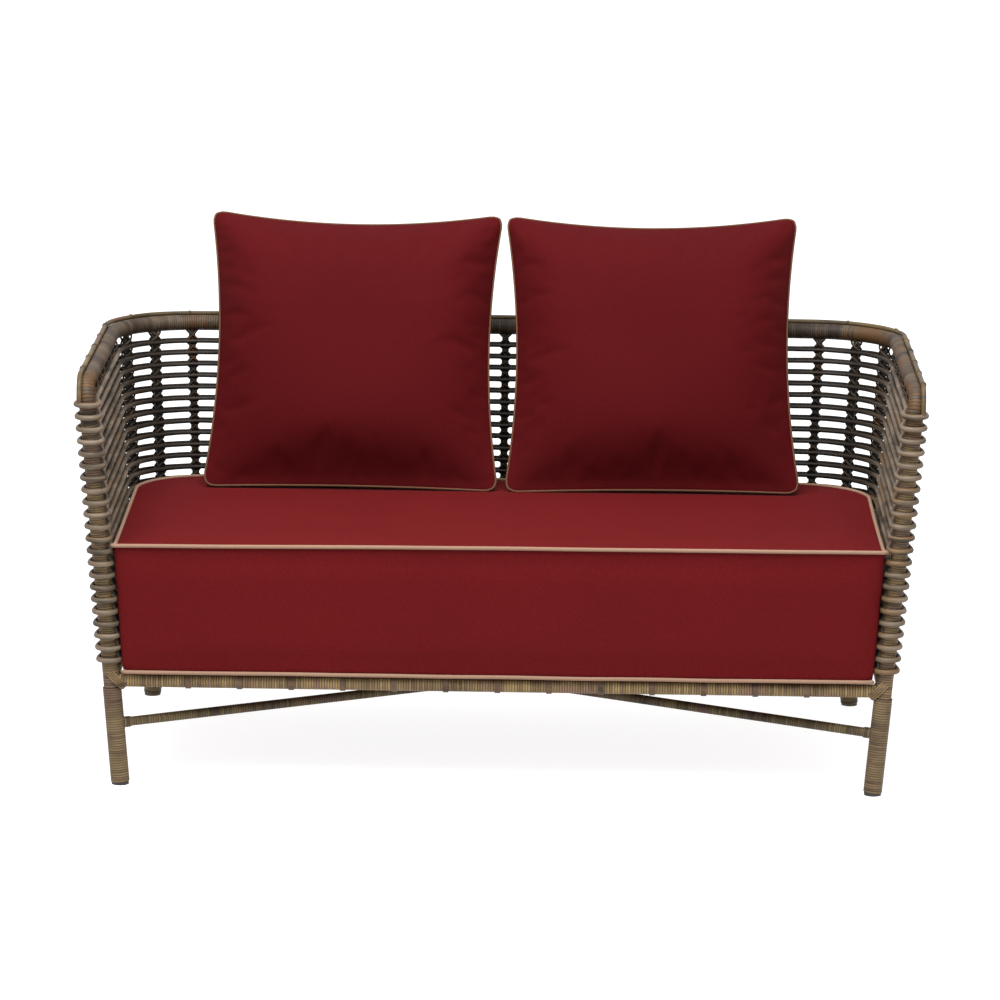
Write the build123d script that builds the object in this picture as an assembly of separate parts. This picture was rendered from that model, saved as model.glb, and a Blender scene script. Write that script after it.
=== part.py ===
from build123d import *
import math
import os

# A two-seat patio loveseat: a bent tube frame wrapped in flat woven strand, an open wall of
# level rods round upright stakes, a strapped seat deck, a boxed seat cushion and two pillows.
# Lengths are in millimetres. +X is to the right as seen from the front, the front faces -Y,
# and the floor is at Z zero.

# Frame outline
post_half_width = 630.0      # front post axis to the middle, at the floor
side_lean_share = 0.082      # how far a side leans out for each unit of height
back_depth = 714.0           # front post axis to top rail axis, at the back
back_lean_share = 0.12       # how far the back leans for each unit of height
arm_flare = 16.0             # each arm stands this much wider at the back than at its post
rail_height = 676.0          # top rail axis
seat_height = 178.0          # seat rail axis
corner_radius = 150.0        # plan radius of the back corners
bend_radius = 26.0           # arm rail to front post
joint_drop = 40.0            # straight length of top rail below each bend
rear_foot_half_width = 635.0
rear_foot_depth = 651.0

# Tubes
tube_radius = 12.5           # posts, legs and top rail
seat_tube_radius = 10.5      # seat rails
tube_wall = 1.6
crossbar_radius = 8.0
crossbar_place = 215.0       # each seat crossbar to the middle
stretcher_radius = 7.0
stretcher_wall = 1.2
stretcher_front_height = 104.0
stretcher_rear_height = 130.0

# Strand wrap round the tubes
post_wrap = 1.5
leg_wrap = 3.5
seat_wrap = 1.0
stretcher_wrap = 1.2
collar_wrap = 2.6
collar_length = 11.0
wrap_gap = 0.1               # between a tube and its wrap, and between tubes that meet
cane_radius = 4.25
cane_end_gap = 0.9           # from the rim cane's lower ends to the first rod
cane_gap = 0.4               # between the rim cane and the rail's wrap

# Woven wall
stake_radius = 6.0
stake_pitch = 71.3           # along the top rail
rod_radius = 3.5
rod_top_height = 644.0
rod_bottom_height = 214.0
rod_count = 22
rods_per_node = 2
rod_gap = 0.55               # between a rod and the stakes and posts that it passes
loop_straight = 10.0         # rods stay wide of the post for this far behind it
loop_taper = 52.0            # and close up on the stakes over this length
taper_radius = 80.0

# Seat deck
strap_pitch = 86.0
strap_width = 9.0
strap_thickness = 1.2
strap_gap = 0.15
strap_count_each_side = 6
side_strap_first = 86.0      # first side to side strap, behind the front post axis
side_strap_count = 5

# Glides
glide_radius = 14.5
glide_height = 5.0
glide_stem_radius = 10.7
glide_stem_length = 22.0

# Seat cushion
cushion_half_width_low = 620.0
cushion_half_width_high = 634.5
cushion_flare = 8.0          # wider at the back, as the arms are
cushion_front_overhang = 15.0
cushion_back = 628.0
cushion_front_corner = 22.0
cushion_back_corner = 130.0
boxing_height = 211.0        # from seam to seam
boxing_bulge = 4.0
edge_roll = 9.0              # from the top seam to the flat of the crown's edge
edge_inset = 9.0
base_roll = 3.5              # from the bottom seam down to the deck
base_inset = 5.0
crown_height = 4.5
crown_inset = 110.0
cushion_clearance = 0.3
cover_thickness = 1.5
cushion_piping_radius = 3.2
zip_length = 900.0
zip_width = 16.0
zip_thickness = 1.6
zip_slider_length = 22.0
zip_slider_width = 10.0
zip_slider_thickness = 4.0

# Throw pillows
pillow_size = 506.0
pillow_half_thickness = 80.0
pillow_sag = 21.0            # how far each side draws in between its corners
pillow_place = 262.0         # pillow middle to the loveseat's middle
pillow_seam_depth = 485.4    # bottom seam behind the front post axis
pillow_lean = 24.5           # degrees back from upright
pillow_piping_radius = 2.4
pillow_clearance = 0.3
pillow_seam_gap = 1.3        # from the cover's edge to the piping round it
cover_edge_share = 8.0       # the filling stops this many cover thicknesses short of the seams

pillow_corner_share = 0.018  # corner radius of the seam, as a share of the pillow's size

# Pillow sections from the seam outwards: share of the half thickness, of the size, and of the
# seam's own sag, which turns into a bulge towards the middle, then the section's corner radius
# as a share of the section's own size. The corners stay thin, as a filled cover's do.
pillow_section_shares = [
    (0.0, 1.0, 1.0, pillow_corner_share),
    (0.34, 0.94, 0.9, 0.20),
    (0.64, 0.82, 0.5, 0.30),
    (0.85, 0.64, -0.3, 0.34),
    (0.96, 0.40, -1.0, 0.36),
    (1.0, 0.18, -0.6, 0.36),
]

overrun = 60.0               # how far a leg's axis runs past the floor before it is cut level

# Worked out from the sizes above
post_outer = tube_radius + post_wrap
leg_outer = tube_radius + leg_wrap
seat_outer = seat_tube_radius + seat_wrap
cross_wrap_radius = stretcher_radius + stretcher_wrap + wrap_gap
cane_reach = (post_outer + cane_radius + cane_gap) / math.sqrt(2)
rod_offset = stake_radius + rod_radius + rod_gap
loop_offset = post_outer + rod_radius + rod_gap
rod_pitch = (rod_top_height - rod_bottom_height) / (rod_count - 1)
strap_inner = seat_outer + strap_gap
strap_outer = strap_inner + strap_thickness
cross_inner = strap_outer + strap_gap
cross_outer = cross_inner + strap_thickness
deck_top = seat_height + cross_outer
cushion_bottom = deck_top + cushion_clearance
low_seam = cushion_bottom + base_roll
high_seam = low_seam + boxing_height
cushion_top = high_seam + crown_height + edge_roll / 2
front_reach = max(
    loop_offset + rod_radius,
    cushion_front_overhang + cushion_clearance + 2 * cushion_piping_radius,
)
rear_reach = back_depth + cane_reach + cane_radius
middle_depth = (rear_reach - front_reach) / 2


def half_width(z):
    """Front post axis to the middle at a height."""
    return post_half_width + side_lean_share * z


def back_line(z):
    """Front post axis to the back wall's middle line at a height."""
    return back_depth - back_lean_share * (rail_height - z)


def post_point(side, z):
    return Vector(side * half_width(z), 0, z)


def arm_angle(z):
    """How far an arm turns outwards, in plan."""
    return math.atan2(arm_flare, back_line(z))


def arm_front(z, offset):
    """The front end of an arm's line in plan, moved outwards."""
    turn = arm_angle(z)
    return half_width(z) + offset / math.cos(turn), 0.0


def wall_corner(z, offset):
    """Where the arm's line meets the back's line in plan, both moved outwards."""
    x_front, y_front = arm_front(z, offset)
    y = back_line(z) + offset
    return x_front + (y - y_front) * math.tan(arm_angle(z)), y


def corner_tangent(z):
    """Length of each straight that a back corner's arc takes up."""
    return corner_radius * math.tan((math.pi / 2 + arm_angle(z)) / 2)


def wall_lengths(z):
    """Half of the back's straight, one corner's arc and one arm's straight."""
    x, y = wall_corner(z, 0)
    tangent = corner_tangent(z)
    arm = math.hypot(x - half_width(z), y)
    return x - tangent, corner_radius * (math.pi / 2 + arm_angle(z)), arm - tangent


def wall_point(z, distance):
    """A point of the wall's middle line, by its distance from the middle of the back."""
    side = math.copysign(1, distance)
    back, arc, arm = wall_lengths(z)
    along = abs(distance)
    y_back = back_line(z)
    if along <= back:
        return Vector(side * along, y_back, z)
    if along <= back + arc:
        turn = (along - back) / corner_radius
        x = back + corner_radius * math.sin(turn)
        return Vector(side * x, y_back - corner_radius * (1 - math.cos(turn)), z)
    left = arm - (along - back - arc)
    turn = arm_angle(z)
    return Vector(side * (half_width(z) + left * math.sin(turn)), left * math.cos(turn), z)


def floor_cut(z):
    """A block that takes away everything below a height."""
    reach = 2 * (post_half_width + back_depth)
    return Pos(0, 0, z) * Box(reach, reach, reach, align=(Align.CENTER, Align.CENTER, Align.MAX))


def rod_between(start, end, radius):
    """A round bar from one point to another."""
    along = end - start
    return extrude(Plane(origin=start, z_dir=along) * Circle(radius), amount=along.length)


def tube_between(start, end, outer, inner):
    return rod_between(start, end, outer) - rod_between(start, end, inner)


def swept_bar(path, radius):
    return sweep(Plane(origin=path @ 0, z_dir=path % 0) * Circle(radius), path=path)


def swept_tube(path, outer, inner):
    return swept_bar(path, outer) - swept_bar(path, inner)


# Front posts and rear legs

def post_line(side):
    """Ends of a front post's axis: just under the floor, and its joint with the top rail."""
    top = rail_height - bend_radius - joint_drop
    return post_point(side, -overrun), post_point(side, top)


def rear_leg_line(side):
    """Ends of a rear leg's axis: just under the floor, and the seat rail's corner."""
    back, arc, _ = wall_lengths(seat_height)
    top = wall_point(seat_height, side * (back + arc / 2))
    foot = Vector(side * rear_foot_half_width, rear_foot_depth, 0)
    along = (top - foot) / seat_height
    return foot - along * overrun, top


def line_at_height(line, z):
    start, end = line
    share = (z - start.Z) / (end.Z - start.Z)
    return start + (end - start) * share


def leg_tube(line):
    """A tube along a leg's axis, cut level where it stands on its glide."""
    tube = tube_between(*line, tube_radius, tube_radius - tube_wall)
    return tube - floor_cut(glide_height)


def front_post(side):
    return leg_tube(post_line(side))


def rear_leg(side):
    leg = leg_tube(rear_leg_line(side))
    return leg - swept_bar(seat_path(), seat_tube_radius + wrap_gap)


def glide(line):
    """A plastic foot glide: a flange on the floor and a stem up inside the tube."""
    foot = line_at_height(line, glide_height)
    flange = Pos(foot.X, foot.Y, 0) * Cylinder(
        glide_radius, glide_height, align=(Align.CENTER, Align.CENTER, Align.MIN)
    )
    stem = rod_between(
        line_at_height(line, glide_height / 2),
        line_at_height(line, glide_height + glide_stem_length),
        glide_stem_radius,
    )
    return flange + stem


# Rails

def rail_path():
    """Up out of one front post, round the back and down into the other."""
    points = [post_line(-1)[1], post_point(-1, rail_height)]
    x, y = wall_corner(rail_height, 0)
    points += [Vector(-x, y, rail_height), Vector(x, y, rail_height)]
    points += [post_point(1, rail_height), post_line(1)[1]]
    return FilletPolyline(*points, radius=[bend_radius, corner_radius, corner_radius, bend_radius])


def cane_path():
    """The rim cane, on the top outer edge of the rail and down the post's outer front."""
    z = rail_height + cane_reach
    low = rod_top_height + rod_radius + cane_end_gap
    drop = z - low
    x_front = arm_front(rail_height, cane_reach)[0]
    x, y = wall_corner(rail_height, cane_reach)
    right = [
        Vector(x, y, z),
        Vector(x_front, -cane_reach, z),
        Vector(x_front - side_lean_share * drop, -cane_reach, low),
    ]
    left = [Vector(-point.X, point.Y, point.Z) for point in reversed(right)]
    bend = bend_radius + cane_reach
    corner = corner_radius + cane_reach
    return FilletPolyline(*left, *right, radius=[bend, corner, corner, bend])


def seat_path():
    """The seat rail from one front post round the back to the other."""
    x, y = wall_corner(seat_height, 0)
    points = [post_point(-1, seat_height), Vector(-x, y, seat_height)]
    points += [Vector(x, y, seat_height), post_point(1, seat_height)]
    return FilletPolyline(*points, radius=[corner_radius, corner_radius])


def post_cutter(side, radius):
    return rod_between(*post_line(side), radius)


def front_rail_cutter(radius):
    return rod_between(post_point(-1, seat_height), post_point(1, seat_height), radius)


def seat_rail_front():
    rail = tube_between(
        post_point(-1, seat_height),
        post_point(1, seat_height),
        seat_tube_radius,
        seat_tube_radius - tube_wall,
    )
    for side in (-1, 1):
        rail -= post_cutter(side, tube_radius + wrap_gap)
    return rail


def seat_rail_back():
    """The bent seat rail, coped round the posts and mitred behind the front rail."""
    rail = swept_tube(seat_path(), seat_tube_radius, seat_tube_radius - tube_wall)
    for side in (-1, 1):
        rail -= post_cutter(side, tube_radius + wrap_gap)
    return rail - front_rail_cutter(seat_outer + wrap_gap)


def crossbar(side):
    """A seat crossbar from the front rail to the back rail, coped round both."""
    x = side * crossbar_place
    start = Vector(x, 0, seat_height)
    end = Vector(x, back_line(seat_height), seat_height)
    bar = tube_between(start, end, crossbar_radius, crossbar_radius - stretcher_wall)
    bar -= front_rail_cutter(seat_outer + wrap_gap)
    return bar - swept_bar(seat_path(), seat_outer + wrap_gap)


# Stretchers crossing under the seat

def stretcher_line(side):
    """From the front leg on one side to the rear leg on the other."""
    front = line_at_height(post_line(side), stretcher_front_height)
    rear = line_at_height(rear_leg_line(-side), stretcher_rear_height)
    return front, rear


def stretcher_crossing():
    """The middle of the long stretcher, where the short ones meet it."""
    front, rear = stretcher_line(1)
    share = abs(front.X) / (abs(front.X) + abs(rear.X))
    return front + (rear - front) * share


def stretcher_tube(ends, line_side):
    """A stretcher's tube or part of it, coped round the two legs on its line."""
    tube = tube_between(*ends, stretcher_radius, stretcher_radius - stretcher_wall)
    tube -= rod_between(*post_line(line_side), tube_radius + wrap_gap)
    return tube - rod_between(*rear_leg_line(-line_side), tube_radius + wrap_gap)


def stretcher_long():
    return stretcher_tube(stretcher_line(1), 1)


def stretcher_short(part):
    """Half of the second stretcher, coped round the long one where they cross."""
    start, end = stretcher_line(-1)
    crossing = stretcher_crossing()
    ends = {"front": (start, crossing), "rear": (crossing, end)}[part]
    return stretcher_tube(ends, -1) - rod_between(*stretcher_line(1), cross_wrap_radius)


# Strand wraps

def wrap_openings():
    """The tubes and bars that pass through the legs' wraps."""
    reach = seat_tube_radius + wrap_gap
    cutters = [front_rail_cutter(reach), swept_bar(seat_path(), reach)]
    cutters += [rod_between(*stretcher_line(side), stretcher_radius + wrap_gap) for side in (-1, 1)]
    return cutters


def wrap_post(side):
    """The wrap of a front post, thicker below the seat rail."""
    start, top = post_line(side)
    step = post_point(side, seat_height - seat_outer)
    inner = tube_radius + wrap_gap
    wrap = rod_between(start, step, leg_outer) + rod_between(step, top, post_outer)
    wrap -= rod_between(start, top, inner)
    wrap -= floor_cut(glide_height)
    for cutter in wrap_openings():
        wrap -= cutter
    return wrap


def wrap_rear_leg(side):
    line = rear_leg_line(side)
    wrap = tube_between(*line, leg_outer, tube_radius + wrap_gap)
    wrap -= floor_cut(glide_height)
    wrap -= swept_bar(seat_path(), seat_outer + wrap_gap)
    for other in (-1, 1):
        wrap -= rod_between(*stretcher_line(other), stretcher_radius + wrap_gap)
    return wrap


def wrap_top_rail():
    return swept_tube(rail_path(), post_outer, tube_radius + wrap_gap)


def wrap_seat_rail_front():
    wrap = tube_between(
        post_point(-1, seat_height), post_point(1, seat_height), seat_outer, seat_tube_radius + wrap_gap
    )
    for side in (-1, 1):
        wrap -= post_cutter(side, leg_outer + wrap_gap)
    return wrap


def wrap_seat_rail_back():
    wrap = swept_tube(seat_path(), seat_outer, seat_tube_radius + wrap_gap)
    for side in (-1, 1):
        wrap -= post_cutter(side, leg_outer + wrap_gap)
        wrap -= rod_between(*rear_leg_line(side), tube_radius + wrap_gap)
    return wrap - front_rail_cutter(seat_outer + wrap_gap)


def collar(line, at_start):
    """The thicker band of wrap where a stretcher meets a leg."""
    start, end = line
    along = (end - start).normalized()
    length = leg_outer + collar_length
    if at_start:
        near, far = start, start + along * length
    else:
        near, far = end - along * length, end
    return rod_between(near, far, stretcher_radius + collar_wrap)


def wrap_stretcher(line_side, part):
    """The wrap of a stretcher or of half of one, with its collars at the legs."""
    line = stretcher_line(line_side)
    crossing = stretcher_crossing()
    ends = {"long": line, "front": (line[0], crossing), "rear": (crossing, line[1])}[part]
    wrap = rod_between(*ends, stretcher_radius + stretcher_wrap)
    if part != "rear":
        wrap += collar(line, at_start=True)
    if part != "front":
        wrap += collar(line, at_start=False)
    wrap -= rod_between(*line, stretcher_radius + wrap_gap)
    wrap -= rod_between(*post_line(line_side), leg_outer + wrap_gap)
    wrap -= rod_between(*rear_leg_line(-line_side), leg_outer + wrap_gap)
    if part != "long":
        wrap -= rod_between(*stretcher_line(-line_side), cross_wrap_radius)
    return wrap


# Woven wall

def stake_number_limit():
    """How many stakes stand between the middle of the back and a front post."""
    return round(sum(wall_lengths(rail_height)) / stake_pitch) - 1


def stake_ends(number):
    """Where a stake's axis meets the seat rail and the top rail."""
    total = sum(wall_lengths(rail_height))
    spaces = stake_number_limit() + 1
    top_distance = total * number / spaces
    closing = 1 - sum(wall_lengths(seat_height)) / total
    low_distance = top_distance * (1 - closing * abs(number) / spaces)
    return wall_point(seat_height, low_distance), wall_point(rail_height, top_distance)


def strap_places():
    return [strap_pitch * number for number in range(-strap_count_each_side, strap_count_each_side + 1)]


def side_strap_places():
    return [side_strap_first + strap_pitch * number for number in range(side_strap_count)]


def stake_seat(point):
    """How far above the seat rail's axis a stake stands: on its wrap, or on a strap there."""
    reach = stake_radius + strap_width / 2 + 2 * strap_gap
    if abs(point.Y - back_line(seat_height)) < stake_radius:
        if any(abs(point.X - place) < reach for place in strap_places()):
            return strap_outer + wrap_gap
    elif any(abs(point.Y - place) < reach for place in side_strap_places()):
        return cross_outer + wrap_gap
    return seat_outer + wrap_gap


def stake(number):
    low, high = stake_ends(number)
    along = (high - low).normalized()
    tip = stake_radius * math.hypot(along.X, along.Y)
    start = low + along * ((stake_seat(low) + tip) / along.Z)
    end = high - along * ((post_outer + wrap_gap + tip) / along.Z)
    return rod_between(start, end, stake_radius)


def rod_side(z, inward):
    """One long side of a rod's loop: wide at the posts, close on the stakes between them."""
    sign = -1 if inward else 1
    wide = half_width(z) + sign * loop_offset
    x_front, _ = arm_front(z, sign * rod_offset)
    slope = math.tan(arm_angle(z))
    x, y = wall_corner(z, sign * rod_offset)
    taper_end = loop_straight + loop_taper
    right = [
        Vector(x, y, z),
        Vector(x_front + slope * taper_end, taper_end, z),
        Vector(wide, loop_straight, z),
        Vector(wide, 0, z),
    ]
    left = [Vector(-point.X, point.Y, point.Z) for point in reversed(right)]
    corner = corner_radius + sign * rod_offset
    radii = [taper_radius, taper_radius, corner, corner, taper_radius, taper_radius]
    return FilletPolyline(*left, *right, radius=radii)


def rod_row(number):
    """One row of the wall: a rod outside the stakes and back inside them, turning round both posts."""
    z = rod_bottom_height + number * rod_pitch
    turns = [
        CenterArc((half_width(z), 0, z), loop_offset, 180, 180),
        CenterArc((-half_width(z), 0, z), loop_offset, 180, 180),
    ]
    path = Wire(
        rod_side(z, inward=False).edges() + rod_side(z, inward=True).edges() + [turns[0], turns[1]]
    )
    start = Plane(origin=path @ 0, z_dir=path % 0)
    return sweep(start * Circle(rod_radius), path=path)


# Seat deck

def hooked_strap(span, outer, inner):
    """A strap's side view: flat across the top of two rails, with its ends hooked under them."""
    loop = SlotCenterToCenter(span, 2 * outer) - SlotCenterToCenter(span, 2 * inner)
    return loop - Rectangle(span, 2 * outer, align=(Align.CENTER, Align.MAX))


def deck_strap(place):
    """A strap from the front seat rail to the back one."""
    depth = back_line(seat_height)
    origin = (place - strap_width / 2, depth / 2, seat_height)
    middle = Plane(origin=origin, x_dir=(0, 1, 0), z_dir=(1, 0, 0))
    return extrude(middle * hooked_strap(depth, strap_outer, strap_inner), amount=strap_width)


def side_strap(place):
    """A strap across the others, round the two side rails."""
    span = 2 * (half_width(seat_height) + place * math.tan(arm_angle(seat_height)))
    origin = (0, place + strap_width / 2, seat_height)
    middle = Plane(origin=origin, x_dir=(1, 0, 0), z_dir=(0, -1, 0))
    return extrude(middle * hooked_strap(span, cross_outer, cross_inner), amount=strap_width)


# Seat cushion

def cushion_outline(z, width, inset):
    """The seat cushion's plan: square at the front, round at the back corners."""
    front = -cushion_front_overhang + inset
    back = cushion_back - inset
    x_front = width - inset
    x_back = x_front + cushion_flare
    points = [(-x_front, front), (x_front, front), (x_back, back), (-x_back, back)]
    radii = [cushion_front_corner, cushion_front_corner, cushion_back_corner, cushion_back_corner]
    path = FilletPolyline(*points, radius=radii, close=True)
    return Pos(0, 0, z) * path


def cushion_width(z):
    share = (z - low_seam) / boxing_height
    return cushion_half_width_low + share * (cushion_half_width_high - cushion_half_width_low)


def cushion_section(z, inset, skin):
    return make_face(cushion_outline(z, cushion_width(z), inset + skin))


def cushion_form(skin):
    """The boxed cushion, flat below, crowned above; a skin thickness makes its inside."""
    low = cushion_bottom + skin
    middle = (low_seam + high_seam) / 2
    body = loft(
        [
            cushion_section(low_seam, 0, skin),
            cushion_section(middle, -boxing_bulge, skin),
            cushion_section(high_seam, 0, skin),
        ]
    )
    base = loft([cushion_section(low, base_inset, skin), cushion_section(low_seam, 0, skin)])
    crown = loft(
        [
            cushion_section(high_seam, 0, skin),
            cushion_section(high_seam + edge_roll / 2, edge_inset, skin),
            cushion_section(cushion_top - skin, crown_inset, skin),
        ],
        ruled=True,
    )
    return body + base + crown


def cushion_piping(z):
    """A round cord sewn along a seam of the cushion."""
    offset = -(cushion_piping_radius + cushion_clearance)
    path = Wire(cushion_outline(z, cushion_width(z), offset).edges())
    return sweep(Plane(origin=path @ 0, z_dir=path % 0) * Circle(cushion_piping_radius), path=path)


def cushion_zip():
    """A zip along the back of the boxing, with its slider."""
    y = cushion_back + boxing_bulge + cushion_clearance
    z = (low_seam + high_seam) / 2
    tape = Pos(0, y, z) * Box(
        zip_length, zip_thickness, zip_width, align=(Align.CENTER, Align.MIN, Align.CENTER)
    )
    slider = Pos(zip_length / 2 - zip_slider_length, y, z) * Box(
        zip_slider_length,
        zip_slider_thickness,
        zip_slider_width,
        align=(Align.MAX, Align.MIN, Align.CENTER),
    )
    return tape + slider


# Throw pillows

def pillow_plane(side):
    """A pillow's seam plane: X across, Y up along the pillow, Z towards the front."""
    turn = math.radians(pillow_lean)
    rise = -pillow_piping_outline().bounding_box().min.Y
    low = cushion_top + cushion_clearance + pillow_piping_radius
    middle = Vector(
        side * pillow_place,
        pillow_seam_depth + rise * math.sin(turn),
        low + rise * math.cos(turn),
    )
    up = Vector(0, math.sin(turn), math.cos(turn))
    return Plane(origin=middle, x_dir=(1, 0, 0), z_dir=Vector(1, 0, 0).cross(up))


def pillow_outline(size, sag, corner):
    """Four drawn-in sides between four corners."""
    half = size / 2
    inner = half - sag
    places = [(-half, -half), (half, -half), (half, half), (-half, half)]
    middles = [(0, -inner), (inner, 0), (0, inner), (-inner, 0)]
    sides = []
    for index, middle in enumerate(middles):
        sides.append(ThreePointArc(places[index], middle, places[(index + 1) % len(places)]))
    face = make_face(sides)
    return fillet(face.vertices(), corner)


def pillow_piping_outline():
    """The middle line of a pillow's piping."""
    offset = pillow_piping_radius + pillow_seam_gap
    corner = pillow_corner_share * pillow_size + offset
    return pillow_outline(pillow_size + 2 * offset, pillow_sag, corner)


def pillow_half(size, half_thickness, forward):
    sections = []
    sag = pillow_sag * size / pillow_size
    for height_share, size_share, sag_share, corner_share in pillow_section_shares:
        across = size * size_share
        outline = pillow_outline(across, sag * sag_share, across * corner_share)
        sections.append(Pos(0, 0, forward * half_thickness * height_share) * outline)
    return loft(sections)


def pillow_form(size, half_thickness):
    front = pillow_half(size, half_thickness, 1)
    back = pillow_half(size, half_thickness, -1)
    return front + back


def pillow_inside(clearance):
    """The room inside a cover, less a clearance all round."""
    size = pillow_size - cover_edge_share * cover_thickness - 2 * clearance
    return pillow_form(size, pillow_half_thickness - cover_thickness - clearance)


def pillow_cover(side):
    cover = pillow_form(pillow_size, pillow_half_thickness)
    return pillow_plane(side) * (cover - pillow_inside(0))


def pillow_fill(side):
    return pillow_plane(side) * pillow_inside(pillow_clearance)


def pillow_piping(side):
    """A thin cord round the pillow's seam."""
    path = pillow_piping_outline().faces()[0].outer_wire()
    ring = sweep(Plane(origin=path @ 0, z_dir=path % 0) * Circle(pillow_piping_radius), path=path)
    return pillow_plane(side) * ring


def all_nodes():
    """Every piece by its name."""
    nodes = {}
    for side, name in ((-1, "left"), (1, "right")):
        nodes[f"front_post_{name}"] = front_post(side)
        nodes[f"rear_leg_{name}"] = rear_leg(side)
        nodes[f"front_glide_{name}"] = glide(post_line(side))
        nodes[f"rear_glide_{name}"] = glide(rear_leg_line(side))
        nodes[f"seat_crossbar_{name}"] = crossbar(side)
        nodes[f"front_post_wrap_{name}"] = wrap_post(side)
        nodes[f"rear_leg_wrap_{name}"] = wrap_rear_leg(side)
        nodes[f"pillow_cover_{name}"] = pillow_cover(side)
        nodes[f"pillow_fill_{name}"] = pillow_fill(side)
        nodes[f"pillow_piping_{name}"] = pillow_piping(side)
    nodes["top_rail"] = swept_tube(rail_path(), tube_radius, tube_radius - tube_wall)
    nodes["top_rail_wrap"] = wrap_top_rail()
    nodes["rim_cane"] = swept_bar(cane_path(), cane_radius)
    nodes["seat_rail_front"] = seat_rail_front()
    nodes["seat_rail_front_wrap"] = wrap_seat_rail_front()
    nodes["seat_rail_back"] = seat_rail_back()
    nodes["seat_rail_back_wrap"] = wrap_seat_rail_back()
    nodes["stretcher_long"] = stretcher_long()
    nodes["stretcher_long_wrap"] = wrap_stretcher(1, "long")
    for part in ("front", "rear"):
        nodes[f"stretcher_short_{part}"] = stretcher_short(part)
        nodes[f"stretcher_short_{part}_wrap"] = wrap_stretcher(-1, part)
    limit = stake_number_limit()
    arm_first = limit // 2 + 1
    groups = {
        "stakes_left": range(-limit, -arm_first + 1),
        "stakes_back": range(-arm_first + 1, arm_first),
        "stakes_right": range(arm_first, limit + 1),
    }
    for name, numbers in groups.items():
        nodes[name] = Compound([stake(number) for number in numbers])
    for first in range(0, rod_count, rods_per_node):
        rows = [rod_row(number) for number in range(first, min(first + rods_per_node, rod_count))]
        nodes[f"wall_rods_{first // rods_per_node + 1:02d}"] = Compound(rows)
    nodes["deck_straps_front_to_back"] = Compound([deck_strap(place) for place in strap_places()])
    nodes["deck_straps_side_to_side"] = Compound([side_strap(place) for place in side_strap_places()])
    inside = cushion_form(cover_thickness)
    nodes["seat_cushion_cover"] = cushion_form(0) - inside
    nodes["seat_cushion_foam"] = cushion_form(cover_thickness + cushion_clearance)
    nodes["seat_piping_top"] = cushion_piping(high_seam)
    nodes["seat_piping_bottom"] = cushion_piping(low_seam)
    nodes["seat_cushion_zip"] = cushion_zip()
    return nodes


def write_parts():
    os.makedirs("parts", exist_ok=True)
    for name, solid in all_nodes().items():
        placed = Pos(0, -middle_depth, 0) * solid
        placed.label = name
        export_step(placed, f"parts/{name}.step")


write_parts()
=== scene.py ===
import bpy
import math
import random
from mathutils import Matrix, Vector, kdtree, noise


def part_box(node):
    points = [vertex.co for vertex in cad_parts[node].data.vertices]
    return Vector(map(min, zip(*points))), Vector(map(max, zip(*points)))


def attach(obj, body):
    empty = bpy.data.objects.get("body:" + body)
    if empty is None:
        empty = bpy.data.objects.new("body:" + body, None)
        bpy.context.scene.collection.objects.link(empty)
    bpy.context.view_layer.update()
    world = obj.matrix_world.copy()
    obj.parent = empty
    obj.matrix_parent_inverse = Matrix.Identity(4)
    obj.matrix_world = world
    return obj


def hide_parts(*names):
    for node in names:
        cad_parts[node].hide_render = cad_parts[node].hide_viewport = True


# A two-seat patio loveseat: tube frame wound in flat strand, open wall of rods lashed to
# stakes, boxed seat cushion and two throw pillows. Metres, front towards -Y.

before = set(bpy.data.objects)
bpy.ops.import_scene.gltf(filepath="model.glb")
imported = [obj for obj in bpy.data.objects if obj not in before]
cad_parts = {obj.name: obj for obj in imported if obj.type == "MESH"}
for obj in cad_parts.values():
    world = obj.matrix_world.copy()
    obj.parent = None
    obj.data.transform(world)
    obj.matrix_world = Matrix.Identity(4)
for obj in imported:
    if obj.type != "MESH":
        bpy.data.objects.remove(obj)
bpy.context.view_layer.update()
random.seed(38)
print("frame: packed model loaded")

mm = 0.001      # a millimetre
glideLow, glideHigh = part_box("front_glide_left")
frontY = (glideLow.y + glideHigh.y) / 2      # the front posts' axis
floorZ = 0.0

wall = {
    "postHalfWidth": 0.630,      # front post axis to the middle, at the floor
    "sideLean": 0.082,
    "backDepth": 0.714,
    "backLean": 0.12,
    "armFlare": 0.016,
    "cornerRadius": 0.150,
    "railHeight": 0.676,
    "seatHeight": 0.178,
    "bendRadius": 0.026,
    "jointDrop": 0.040,
    "rearFootHalfWidth": 0.635,
    "rearFootDepth": 0.651,
    "glideHeight": 0.005,
}
jointHeight = wall["railHeight"] - wall["bendRadius"] - wall["jointDrop"]


# Places on the frame

def halfWidth(z):
    return wall["postHalfWidth"] + wall["sideLean"] * z


def backLine(z):
    return wall["backDepth"] - wall["backLean"] * (wall["railHeight"] - z)


def armAngle(z):
    return math.atan2(wall["armFlare"], backLine(z))


def armFrontX(z, offset):
    return halfWidth(z) + offset / math.cos(armAngle(z))


def wallCorner(z, offset):
    y = backLine(z) + offset
    return armFrontX(z, offset) + y * math.tan(armAngle(z)), y


def wallLengths(z):
    x, y = wallCorner(z, 0)
    tangent = wall["cornerRadius"] * math.tan((math.pi / 2 + armAngle(z)) / 2)
    arc = wall["cornerRadius"] * (math.pi / 2 + armAngle(z))
    return x - tangent, arc, math.hypot(x - halfWidth(z), y) - tangent


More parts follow.
